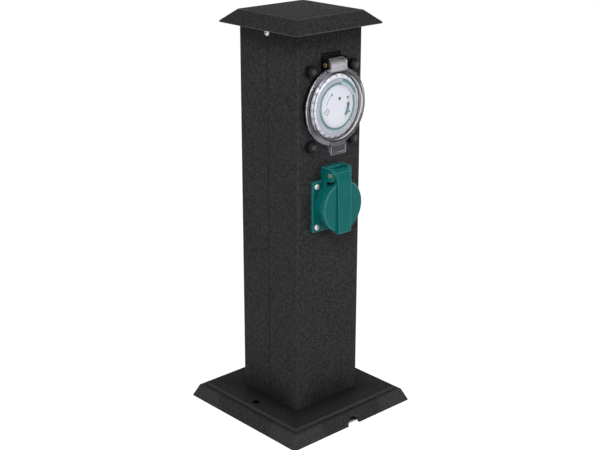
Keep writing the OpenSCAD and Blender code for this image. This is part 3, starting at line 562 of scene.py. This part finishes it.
def clear_plastic(timer):
    """Clear polycarbonate: refracting, faintly lilac and slightly wavy, with lamps passing straight through.

    The tint grows from the drum to the flange and is strongest on the drum's bevel and the rim. The knuckle
    is frosted, the edges of the pull tab are a pale mirror as a painted highlight, and the flange is hazy,
    most at its upper and lower left.
    There the surface is by a share a pale mirror and no longer clear, and rough where it has frost or haze.
    """
    look = Finish("clear_plastic")
    wave = look.noise(9 * MM, 2)
    scuff = look.noise(0.5 * MM, 3)
    side, rise = look.along(0), look.along(2) - DIAL_Z
    out = look.beside((0, 0, DIAL_Z), (0, 2))
    past = {name: look.step(out, near**2, far**2) for name, (near, far) in LID_BORDERS.items()}
    knuckle = look.step(rise, HINGE_RISE - 6.5 * MM, HINGE_RISE - 5.0 * MM)
    frosted = knuckle * (0.4 + look.step(side, 6 * MM, 2 * MM) * 0.25)
    tab = look.step(rise, -35.5 * MM, -36.5 * MM)
    # Painted highlight: the pull tab's edges become a pale mirror
    tab_edge = tab * (look.ridge(1.0 * MM) * 0.6 + look.step(look.size(0), 9.2 * MM, 9.5 * MM) * 0.5)
    drum_front = look.step(look.along(1), FACE_Y - 11.1 * MM, FACE_Y - 11.35 * MM)
    bevel = (past["bevel"] - past["flange"]) * drum_front
    left = look.step(side, -9.3 * MM, -10.5 * MM)
    ends = look.step(rise * rise, (18 * MM) ** 2, (32 * MM) ** 2) * left
    haze = (past["foot"] - past["rim"]) * (0.07 + ends * 0.28)
    pale = frosted + tab_edge + haze
    tint = look.mix(past["wall"] * 0.05 + past["flange"] * 0.95, timer.clear, timer.thick)
    tint = look.mix(bevel, tint, timer.bevel)
    tint = look.mix((past["rim"] - past["end"]) * 0.3, tint, timer.rim)
    tint = look.mix(pale, tint, timer.frost)
    gloss = 0.02 + look.step(scuff, 0.55, 0.85) * 0.06 + frosted * 0.6 + haze * 2.2
    glass = look.surface(tint, gloss, wave, 0.05 * MM, 0.3 * MM, Metallic=pale, IOR=1.30,
                         Transmission_Weight=0.99, Specular_IOR_Level=0.3)
    veil = look.node("BsdfTransparent", {}, {"Color": paint(timer.veil)})
    shadow = look.node("LightPath", output="Is Shadow Ray")
    return look.finish(look.node("MixShader", {}, {0: shadow, 1: glass, 2: veil}))


def dress(material, *nodes):
    """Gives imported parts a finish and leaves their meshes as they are."""
    for name in nodes:
        part = frame["nodes"][name]
        if not part.material_slots:
            part.data.materials.append(material)
        for slot in part.material_slots:
            slot.material = material


def grid_faces(rows, columns, wrap_rows=False):
    """Quads between neighbouring points of a grid, with each row joined round, and the rows if they wrap."""
    first_rows = np.arange(rows if wrap_rows else rows - 1)
    row, column = np.meshgrid(first_rows, np.arange(columns), indexing="ij")
    next_row, next_column = (row + 1) % rows, (column + 1) % columns
    corners = [row * columns + column, row * columns + next_column]
    corners += [next_row * columns + next_column, next_row * columns + column]
    return np.stack(corners, axis=-1).reshape(-1, 4)


def add_piece(name, parts, material, body, replaced=()):
    """Joins parts, each points and blocks of faces, into one mesh with outward faces that rides on a body."""
    points, faces, start = [], [], 0
    for part_points, blocks in parts:
        flat = np.asarray(part_points, float).reshape(-1, 3)
        points.append(flat)
        for block in blocks:
            faces += (block + start).tolist()
        start += len(flat)
    mesh = bpy.data.meshes.new(name)
    mesh.from_pydata(np.concatenate(points).tolist(), [], faces)
    work = bmesh.new()
    work.from_mesh(mesh)
    bmesh.ops.remove_doubles(work, verts=work.verts, dist=1e-7)
    bmesh.ops.recalc_face_normals(work, faces=work.faces)
    work.to_mesh(mesh)
    work.free()
    mesh.materials.append(material)
    piece = bpy.data.objects.new(name, mesh)
    bpy.context.scene.collection.objects.link(piece)
    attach(piece, body)
    if replaced:
        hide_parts(*replaced)
    return piece


def smooth(piece, angle=math.radians(35)):
    """Shades a piece smooth except at edges sharper than the angle."""
    mesh = piece.data
    mesh.polygons.foreach_set("use_smooth", np.ones(len(mesh.polygons), bool))
    mesh.set_sharp_from_angle(angle=angle)


def on_dial(local):
    """Points given across, up and out of the post face, moved to the timer."""
    local = np.asarray(local, float)
    return np.stack([local[..., 0], FACE_Y - local[..., 2], DIAL_Z + local[..., 1]], axis=-1)


def unit(vectors):
    """Vectors scaled to a length of 1."""
    return vectors / np.linalg.norm(vectors, axis=-1, keepdims=True)


def filleted(corners, radii, steps=6):
    """Polyline with rounded inner corners: a quadratic curve between points the radius away on both sides."""
    corners = np.asarray(corners, float)
    inner = corners[1:-1]
    reach = np.asarray(radii, float)[:, None]
    start = inner + unit(corners[:-2] - inner) * reach
    end = inner + unit(corners[2:] - inner) * reach
    t = np.linspace(0, 1, steps)[None, :, None]
    curve = (1 - t) ** 2 * start[:, None] + 2 * t * (1 - t) * inner[:, None] + t**2 * end[:, None]
    return np.concatenate([corners[:1], curve.reshape(-1, 2), corners[-1:]])


def square_rings(half_x, half_y, corner, steps=7):
    """Rounded rectangles, one a row: quarter arcs about the four corner centres, joined by straight sides."""
    half_x, half_y, corner = (np.asarray(value, float)[:, None, None] for value in (half_x, half_y, corner))
    quarter = np.arange(4)[None, :, None]
    middle = np.pi / 2 * (quarter + 0.5)
    angle = np.pi / 2 * (quarter + np.linspace(0, 1, steps)[None, None, :])
    x = np.sign(np.cos(middle)) * (half_x - corner) + corner * np.cos(angle)
    y = np.sign(np.sin(middle)) * (half_y - corner) + corner * np.sin(angle)
    return np.stack([x, y], axis=-1).reshape(len(half_x), -1, 2)


def prism(outline, low, high):
    """Closed prism over a flat outline between two heights: two end faces and a wall of quads."""
    outline = np.asarray(outline, float)
    count = len(outline)
    rows = [np.column_stack([outline, np.full(count, height)]) for height in (low, high)]
    return np.concatenate(rows), [grid_faces(2, count), np.arange(2 * count).reshape(2, count)]


def arc(radius, start, end, steps=24):
    """Points on a circle between two angles in degrees."""
    angle = np.radians(np.linspace(start, end, steps))
    return radius * np.column_stack([np.cos(angle), np.sin(angle)])


def polar(radius, angle):
    """Point on a circle at an angle in degrees."""
    return arc(radius, angle, angle, 1)[0]


def arc_band(radius, width, start, end):
    """Outline of a band of even width along an arc."""
    return np.concatenate([arc(radius - width / 2, start, end), arc(radius + width / 2, end, start)])


def stroke(start, end, width):
    """Outline of a straight stroke between two points."""
    start, end = np.asarray(start, float), np.asarray(end, float)
    across = np.array([start[1] - end[1], end[0] - start[0]]) / np.linalg.norm(end - start) * width / 2
    return np.array([start - across, end - across, end + across, start + across])


def folded_cap(coat):
    """Shell of the cap, a profile of half width and height carried round squares, and its two tongues."""
    flat, sheet = coat.cap_flat, coat.cap_sheet
    bottom = CAP_TOP - coat.cap_height
    lip_top = bottom + coat.cap_lip
    rise, run = CAP_TOP - lip_top, CAP_HALF - flat
    side = sheet * math.hypot(run, rise) / rise
    inner_low = CAP_HALF - sheet
    inner_flat = flat + run * sheet / rise - side
    inner_lip = lip_top + (CAP_HALF - side - inner_low) * rise / run
    inner_top = CAP_TOP - sheet
    corners = [
        (0, CAP_TOP),
        (flat, CAP_TOP),
        (CAP_HALF, lip_top),
        (CAP_HALF, bottom),
        (inner_low, bottom),
        (inner_low, inner_lip),
        (inner_flat, inner_top),
        (0, inner_top),
    ]
    rounding = np.array([0.6, 0.62, 0.45, 0.45, 0.4, 1.6]) * MM
    profile = filleted(corners, rounding)
    half = profile[:, 0]
    rings = square_rings(half, half, np.minimum(half, coat.cap_corner))
    height = np.broadcast_to(profile[:, 1, None, None], (*rings.shape[:2], 1))
    shell = np.concatenate([rings, height], axis=-1)
    parts = [(shell, [grid_faces(*shell.shape[:2])])]
    tongue_thick, tongue_corner, tongue_depth, tongue_root = 1.0 * MM, 0.4 * MM, 3.0 * MM, 0.2 * MM
    tongue = square_rings([tongue_thick], [coat.tongue_half], [tongue_corner], 4)[0]
    for side_sign in (-1, 1):
        outline = tongue + np.array([side_sign * (POST_HALF - tongue_depth), 0])
        parts.append(prism(outline, TONGUE_LOW, inner_top + tongue_root))
    return parts


def coiled_spring(socket):
    """Torsion spring: a circle carried along a straight leg and a helix about the hinge axis, ends closed."""
    per_turn, around, leg_steps, leg_gap = 28, 14, 6, 0.25 * MM
    radius, wire, half, count = socket.coil_radius, socket.coil_wire, socket.coil_half, socket.coil_turns
    turns = np.linspace(0, count, per_turn * count + 1)
    angle = 2 * np.pi * turns
    first = wire / 2 - half
    pitch = (2 * half - wire) / count
    helix = np.column_stack([first + pitch * turns, -radius * np.cos(angle), radius * np.sin(angle)])
    leg_out = np.linspace(-socket.coil_leg, -leg_gap, leg_steps)
    leg = np.column_stack([np.full(leg_steps, first), np.full(leg_steps, -radius), leg_out])
    path = np.concatenate([leg, helix])
    tangent = unit(np.gradient(path, axis=0))
    first_side = unit(np.cross(tangent, [1.0, 0.0, 0.0]))
    second_side = np.cross(first_side, tangent)
    turn = np.linspace(0, 2 * np.pi, around, endpoint=False)[None, :, None]
    offset = np.cos(turn) * first_side[:, None] + np.sin(turn) * second_side[:, None]
    tube = path[:, None] + wire / 2 * offset
    ends = np.arange(around) + np.array([[0], [(len(path) - 1) * around]])
    x, y, z = SPRING_PLACE
    placed = np.stack([x + tube[..., 0], y - tube[..., 2], z + tube[..., 1]], axis=-1)
    return [(placed, [grid_faces(len(path), around), ends])]


def number_ring(timer, radius):
    """Height of the sloping number ring at a radius."""
    return timer.ring_front - timer.ring_slope * (radius - timer.ring_inner)


def ribbed_edge(timer):
    """Finger ribs on the dial's edge: a ring whose outer radius swells with a wave round the turn.

    The wave is (0.5 + 0.5 cos(ribs * turn)) ** 0.7, and a share of the swell stays between the ribs.
    """
    per_rib, bevel, inset, root = 8, 0.3 * MM, 0.15 * MM, 0.1 * MM
    turn = np.linspace(0, 2 * np.pi, timer.grip_ribs * per_rib, endpoint=False)
    wave = (0.5 + 0.5 * np.cos(turn * timer.grip_ribs)) ** 0.7
    back, front = timer.grip_back, number_ring(timer, DIAL_RADIUS) - inset
    swell = np.array([0.0, 0.7, 1.0, 1.0, 0.7, 0.0])[:, None] * (0.25 + 0.75 * wave)[None, :]
    depth = np.array([back, back, back + bevel, front - bevel, front, front])[:, None]
    radius = DIAL_RADIUS - root + timer.grip_rise * swell
    across, up = radius * np.cos(turn), radius * np.sin(turn)
    ring = np.stack([across, up, np.broadcast_to(depth, radius.shape)], axis=-1)
    inner = ring[[0, -1]].copy()
    inner[..., :2] *= 0.985
    ring = np.concatenate([inner[:1], ring, inner[1:]])
    return [(on_dial(ring), [grid_faces(*ring.shape[:2], wrap_rows=True)])]


def ring_strokes(timer):
    """Strokes of the number ring: bars that lie on the slope, a longer and wider one at each hour."""
    hour_length, fine_length, gap = 0.75 * MM, 0.5 * MM, 0.05 * MM
    hour_half, fine_half = 0.18 * MM, 0.11 * MM
    count = timer.hours * timer.quarters
    index = np.arange(count)
    whole = index % timer.quarters == 0
    angle = (2 * np.pi * index / count)[:, None, None, None]
    outer = timer.ring_inner + np.where(whole, hour_length, fine_length)
    half = np.where(whole, hour_half, fine_half)
    radius = np.stack([np.full(count, timer.ring_inner + gap), outer], axis=-1)
    signs = np.array([-1, 1])
    along = radius[:, :, None, None]
    across = (half[:, None] * signs)[:, None, :, None]
    out = number_ring(timer, along) + np.array([-INK_SINK, timer.ink_rise])
    x = along * np.cos(angle) - across * np.sin(angle)
    y = along * np.sin(angle) + across * np.cos(angle)
    x, y, out = np.broadcast_arrays(x, y, out)
    points = on_dial(np.stack([x, y, out], axis=-1))
    cube = np.array([[0, 1, 3, 2], [4, 6, 7, 5], [0, 4, 5, 1], [2, 3, 7, 6], [0, 2, 6, 4], [1, 5, 7, 3]])
    return [(points, [(8 * index[:, None, None] + cube[None]).reshape(-1, 4)])]


def word_solid(word, size, rise):
    """Points and faces of a short word as a thin raised solid, centred on its own middle."""
    bold_share = 0.045
    curve = bpy.data.curves.new("word", "FONT")
    curve.body = word
    curve.size = size
    curve.align_x = "CENTER"
    curve.align_y = "CENTER"
    curve.resolution_u = 3
    curve.offset = size * bold_share
    curve.extrude = rise / 2
    carrier = bpy.data.objects.new("word", curve)
    bpy.context.scene.collection.objects.link(carrier)
    mesh = bpy.data.meshes.new_from_object(carrier.evaluated_get(bpy.context.evaluated_depsgraph_get()))
    points = np.empty(len(mesh.vertices) * 3)
    mesh.vertices.foreach_get("co", points)
    mesh.calc_loop_triangles()
    faces = np.empty(len(mesh.loop_triangles) * 3, int)
    mesh.loop_triangles.foreach_get("vertices", faces)
    bpy.data.objects.remove(carrier)
    bpy.data.curves.remove(curve)
    bpy.data.meshes.remove(mesh)
    return points.reshape(-1, 3), [faces.reshape(-1, 3)]


def ring_numbers(timer):
    """Hours on the number ring: each word turned to stand on the slope with its top outwards."""
    parts = []
    lean = math.atan(timer.ring_slope)
    fall, level = math.sin(lean), math.cos(lean)
    for hour in range(1, timer.hours + 1):
        points, faces = word_solid(str(hour), timer.number_size, timer.ink_rise)
        angle = 2 * np.pi * hour / timer.hours
        side, tall, thick = points.T
        up = timer.number_radius + tall * level + thick * fall
        out = number_ring(timer, timer.number_radius) - tall * fall + thick * level + timer.ink_rise / 4
        x = up * np.cos(angle) + side * np.sin(angle)
        y = up * np.sin(angle) - side * np.cos(angle)
        parts.append((on_dial(np.column_stack([x, y, out])), faces))
    return parts


def face_ink_outlines():
    """Outlines of the coloured marks on the centre disc, in millimetres about its centre.

    They are a turning arrow, a pointer, strokes round the edge and one stroke beside the hand switch.
    """
    arrow_radius, arrow_width, head_half = 14.3, 0.6, 1.9
    tip, back = polar(arrow_radius, 116), polar(arrow_radius, 124)
    side = back / arrow_radius * head_half
    marks = [arc_band(arrow_radius, arrow_width, 170, 122), np.array([tip, back + side, back - side])]
    pointer_tip, pointer_back, pointer_half = 17.3, 13.4, 1.7
    out = polar(1, 28.7)
    across = np.array([-out[1], out[0]]) * pointer_half
    marks.append(np.array([out * pointer_tip, out * pointer_back + across, out * pointer_back - across]))
    marks += [stroke(polar(17.6, angle), polar(18.6, angle), 0.45) for angle in np.arange(0, 360, 7.5)]
    marks.append(stroke((9.0, -1.6), (9.0, -3.4), 0.35))
    return marks


def face_dark_outlines():
    """Outlines of the dark marks in millimetres: a clock sign in a standing square, and a setting hole."""
    centre, reach, frame_width, hand_width = np.array([-13.4, -3.0]), 3.3, 0.6, 0.7
    corners = centre + reach * np.array([(0, 1), (1, 0), (0, -1), (-1, 0)])
    marks = [stroke(a, b, frame_width) for a, b in zip(corners, np.roll(corners, -1, axis=0))]
    marks.append(stroke(centre + (0.0, -0.2), centre + (-0.5, 1.3), hand_width))
    marks.append(stroke(centre, centre + (0.95, -0.3), hand_width))
    hole_place, hole_radius = np.array([2.4, 7.3]), 1.6
    marks.append(hole_place + arc(hole_radius, 0, 345))
    return marks


def disc_marks(outlines, timer):
    """Thin prisms of print on the centre disc."""
    low, high = DISC_FRONT - INK_SINK, DISC_FRONT + timer.ink_rise
    solids = [prism(outline * MM, low, high) for outline in outlines]
    return [(on_dial(points), faces) for points, faces in solids]


class POST_OT_stage(Operator):
    """Sets the camera, the pale floor, the even sky and the soft lamps"""

    bl_idname = "garden_post.stage"
    bl_label = "Stage"

    def execute(self, context):
        stage = context.scene.post_stage
        context.scene.view_settings.view_transform = "Standard"
        self.camera(context, stage)
        self.floor(context, stage)
        self.sky(context, stage)
        for name, (place, size, power, glossy) in LAMPS.items():
            self.lamp(context, name, place, size, power, glossy)
        return {"FINISHED"}

    def camera(self, context, stage):
        """Puts the camera at its angles and distance from the point that it looks at."""
        flat = stage.distance * math.cos(stage.elevation)
        back = Vector((
            flat * math.sin(stage.azimuth),
            -flat * math.cos(stage.azimuth),
            stage.distance * math.sin(stage.elevation),
        ))
        lens = bpy.data.cameras.new("camera")
        lens.lens = stage.lens
        lens.sensor_width = stage.sensor
        camera = bpy.data.objects.new("camera", lens)
        side = Vector((math.cos(stage.azimuth), math.sin(stage.azimuth), 0)) * stage.aim_side
        camera.location = Vector((0, 0, stage.aim_height)) + side + back
        camera.rotation_mode = "QUATERNION"
        camera.rotation_quaternion = (-back).to_track_quat("-Z", "Y") @ Quaternion((0, 0, 1), stage.roll)
        context.scene.collection.objects.link(camera)
        context.scene.camera = camera

    def floor(self, context, stage):
        """Lays a floor that shows almost white with soft shadows, and is plain paper for the light."""
        half, level = stage.floor_half, stage.floor_level
        corners = [(-half, -half, level), (half, -half, level), (half, half, level), (-half, half, level)]
        mesh = bpy.data.meshes.new("floor")
        mesh.from_pydata(corners, [], [(0, 1, 2, 3)])
        look = Finish("floor_paint")
        base = look.mix(look.noise(0.25, 2) * 0.3, stage.floor_colour, scaled(stage.floor_colour, 0.97))
        paper = look.node("BsdfDiffuse", {}, {"Color": base})
        open_floor = look.step(look.reach(), BASE_HALF - 7 * MM, BASE_HALF - 3.5 * MM)
        glow = look.node("Emission", {}, {"Color": look.mix(open_floor, (0, 0, 0), stage.floor_colour)})
        veiled = look.node("BsdfDiffuse", {}, {"Color": paint(stage.floor_veil)})
        shown = look.node("AddShader", {}, {0: glow, 1: veiled})
        both = look.node("MixShader", {}, {0: seen_rays(look), 1: paper, 2: shown})
        mesh.materials.append(look.finish(both))
        floor = bpy.data.objects.new("floor", mesh)
        context.scene.collection.objects.link(floor)

    def sky(self, context, stage):
        """Makes a sky that looks white, is dimmer overhead in reflections, and is weak and even as light."""
        world = bpy.data.worlds.new("sky")
        world.use_nodes = True
        context.scene.world = world
        look = WorldLook(world)
        rise = look.node("SeparateXYZ", {}, {0: look.node("TexCoord", output="Generated")}, 2)
        ceiling = look.step(rise, 0.05, 0.32) * look.node("LightPath", output="Is Glossy Ray")
        even, white, dim = (
            look.node("Background", {}, {"Color": (1, 1, 1, 1), "Strength": strength})
            for strength in (stage.sky, 1.0, stage.ceiling)
        )
        shown = look.node("MixShader", {}, {0: ceiling, 1: white, 2: dim})
        mixed = look.node("MixShader", {}, {0: seen_rays(look), 1: even, 2: shown})
        look.node("OutputWorld", {}, {"Surface": mixed})

    def lamp(self, context, name, place, size, power, glossy):
        """Hangs a square lamp that looks at the middle of the post."""
        data = bpy.data.lights.new(name, "AREA")
        data.shape = "RECTANGLE"
        data.size = size
        data.size_y = size
        data.energy = power
        lamp = bpy.data.objects.new(name, data)
        lamp.location = place
        lamp.visible_glossy = glossy
        lamp.rotation_mode = "QUATERNION"
        lamp.rotation_quaternion = (LAMP_AIM - lamp.location).to_track_quat("-Z", "Y")
        context.scene.collection.objects.link(lamp)


class POST_OT_coated_steel(Operator):
    """Powder coats the post and its foot, and builds the folded cap"""

    bl_idname = "garden_post.coated_steel"
    bl_label = "Coated steel and cap"

    def execute(self, context):
        coat = context.scene.post_coat
        # The post gets painted highlights on its bends, painted shade at its foot and the cap's painted
        # shadow
        dress(powder_coat(coat, "powder_coat", post_wear, post_shade), "post_tube")
        # The tray's coat is a slightly lighter copy, painted light on its bevels, with painted shade by the
        # plate and in the holes
        dress(powder_coat(coat, "tray_coat", post_wear, plate_crevice, shade=1.03), "base_tray")
        dress(bare_primer(), "seam_strip")
        # The foot plate's coat is a darker copy, painted shade on its top, with painted shade round the post
        # and in the holes
        dress(powder_coat(coat, "plate_coat", plate_wear, plate_dirt, shade=0.86), "foot_plate")
        # The cap gets painted highlights on its fold and lip
        cap_coat = powder_coat(coat, "cap_coat", cap_wear)
        cap = add_piece("cap_shell", folded_cap(coat), cap_coat, "post", ["top_cap"])
        smooth(cap)
        return {"FINISHED"}


class POST_OT_fasteners(Operator):
    """Plates the screws, nuts and studs and the brass hinge pins and contacts"""

    bl_idname = "garden_post.fasteners"
    bl_label = "Screws, pins and contacts"

    def execute(self, context):
        metal = context.scene.post_metal
        dress(plated("bright_steel", metal.bright, rough=0.34, share=0.6), "cap_screws", "socket_screws")
        zinc = plated("zinc_steel", metal.zinc, rough=0.30)
        dress(zinc, "base_screws", "base_nuts", "timer_nuts", "socket_nuts")
        dress(zinc, "wall_studs", "stud_nuts", "spindle", "timer_motor")
        pin_look = {"rough": 0.40, "edge": 0.35 * MM, "share": 0.3}
        for unit, colour in (("timer", metal.timer_pin), ("socket", metal.socket_pin)):
            place = joint_place(unit + "_lid_hinge")
            dress(plated(unit + "_pin_brass", colour, pin=place, **pin_look), unit + "_lid_pin")
        brass = plated("drawn_brass", metal.brass, rough=0.28, edge=0.35 * MM)
        dress(brass, "contact_tubes", "earth_contacts", "timer_terminals")
        return {"FINISHED"}


class POST_OT_timer_frame(Operator):
    """Finishes the black mouldings and bolts round the timer, and the rubber seals"""

    bl_idname = "garden_post.timer_frame"
    bl_label = "Timer frame and bolts"

    def execute(self, context):
        timer = context.scene.post_timer
        black = moulded("black_plastic", timer.black, rough=0.36, level=0.18, edge=0.35 * MM)
        dress(black, "timer_frame", "timer_case", "timer_cover", "switch_block")
        dress(domed_bolt(timer), "timer_bolts")
        dress(soft_rubber(), "timer_gasket", "socket_gasket", "lid_seal", "socket_lid_seal")
        return {"FINISHED"}


class POST_OT_dial(Operator):
    """Finishes the dial, its trippers, the centre disc and the hand switch, and adds the ribbed edge"""

    bl_idname = "garden_post.dial"
    bl_label = "Dial"

    def execute(self, context):
        timer = context.scene.post_timer
        white = {"rough": 0.36, "level": 0.4, "edge": 0.1 * MM, "shift": 0.015}
        dress(moulded("disc_white", timer.white, **white), "face_disc", "drive_pinion", "terminal_block")
        ring = moulded("dial_white", timer.ring, **white)
        dress(ring, "dial")
        grey = {"colour": timer.grey, "rough": 0.40, "level": 0.4, "edge": 0.1 * MM, "shift": 0.06}
        dress(moulded("tripper_grey", **grey), "trippers_off", "tripper_slide")
        dress(moulded("tripper_set", tip=timer.green, **grey), "trippers_on")
        dress(moulded("track_green", timer.green, rough=0.40, level=0.4), "dial_track")
        dress(lever_plastic(timer), "override_lever")
        smooth(add_piece("dial_grip", ribbed_edge(timer), ring, "dial"))
        return {"FINISHED"}


class POST_OT_print(Operator):
    """Prints the hours and strokes on the dial and the signs on the centre disc"""

    bl_idname = "garden_post.print"
    bl_label = "Printed marks"

    def execute(self, context):
        timer = context.scene.post_timer
        ink = moulded("dial_ink", timer.ink, rough=0.5, level=0.3)
        dark = moulded("dark_ink", timer.dark_ink, rough=0.5, level=0.3)
        add_piece("ring_strokes", ring_strokes(timer), ink, "dial")
        add_piece("ring_numbers", ring_numbers(timer), ink, "dial")
        add_piece("disc_signs", disc_marks(face_ink_outlines(), timer), ink, "post")
        add_piece("disc_clock_sign", disc_marks(face_dark_outlines(), timer), dark, "post")
        return {"FINISHED"}


class POST_OT_clear_lid(Operator):
    """Makes the timer lid clear"""

    bl_idname = "garden_post.clear_lid"
    bl_label = "Clear lid"

    def execute(self, context):
        dress(clear_plastic(context.scene.post_timer), "timer_lid")
        return {"FINISHED"}


class POST_OT_socket(Operator):
    """Finishes the teal socket and winds its lid spring"""

    bl_idname = "garden_post.socket"
    bl_label = "Socket"

    def execute(self, context):
        socket = context.scene.post_socket
        skin = {"rough": 0.30, "level": 0.11, "edge": 0.7 * MM, "grain": 0.9 * MM, "shift": 0.06}
        # The mouldings get painted highlights on their outer edges
        teal = moulded("teal_plastic", socket.teal, pale=socket.pale, **skin)
        dress(teal, "socket_body", "socket_lid", "socket_insert")
        steel = plated("spring_steel", context.scene.post_metal.spring, rough=0.22)
        coil = coiled_spring(socket)
        smooth(add_piece("lid_spring", coil, steel, "post", ["socket_lid_spring"]))
        return {"FINISHED"}


class POST_OT_wiring(Operator):
    """Colours the wires inside the post"""

    bl_idname = "garden_post.wiring"
    bl_label = "Wires"

    def execute(self, context):
        brown, blue = (0.10, 0.035, 0.015), (0.02, 0.07, 0.30)
        green, yellow = (0.08, 0.30, 0.05), (0.65, 0.55, 0.03)
        dress(moulded("brown_wire", brown, rough=0.42, level=0.4), "live_wires")
        dress(moulded("blue_wire", blue, rough=0.42, level=0.4), "neutral_wires")
        dress(striped_wire(green, yellow), "earth_wires")
        return {"FINISHED"}


SETTINGS = {
    "post_stage": StageSettings,
    "post_coat": CoatSettings,
    "post_metal": MetalSettings,
    "post_timer": TimerSettings,
    "post_socket": SocketSettings,
}

OPERATORS = (
    POST_OT_stage,
    POST_OT_coated_steel,
    POST_OT_fasteners,
    POST_OT_timer_frame,
    POST_OT_dial,
    POST_OT_print,
    POST_OT_clear_lid,
    POST_OT_socket,
    POST_OT_wiring,
)


class POST_PT_panel(Panel):
    """Lists the steps and the values that a user may change"""

    bl_label = "Garden post"
    bl_space_type = "VIEW_3D"
    bl_region_type = "UI"
    bl_category = "Garden post"

    def draw(self, context):
        column = self.layout.column()
        for step in OPERATORS:
            column.operator(step.bl_idname)
        for name in SETTINGS:
            group = getattr(context.scene, name)
            for value in group.bl_rna.properties.keys():
                if value not in ("name", "rna_type"):
                    column.prop(group, value)


def register():
    """Registers the settings, the steps and the panel."""
    for name, group in SETTINGS.items():
        bpy.utils.register_class(group)
        setattr(bpy.types.Scene, name, PointerProperty(type=group))
    for item in (*OPERATORS, POST_PT_panel):
        bpy.utils.register_class(item)


def unregister():
    """Takes back what register added."""
    for item in (POST_PT_panel, *reversed(OPERATORS)):
        bpy.utils.unregister_class(item)
    for name, group in SETTINGS.items():
        delattr(bpy.types.Scene, name)
        bpy.utils.unregister_class(group)


def main():
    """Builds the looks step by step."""
    register()
    for step in OPERATORS:
        group, name = step.bl_idname.split(".")
        getattr(getattr(bpy.ops, group), name)()


if __name__ == "__main__":
    main()
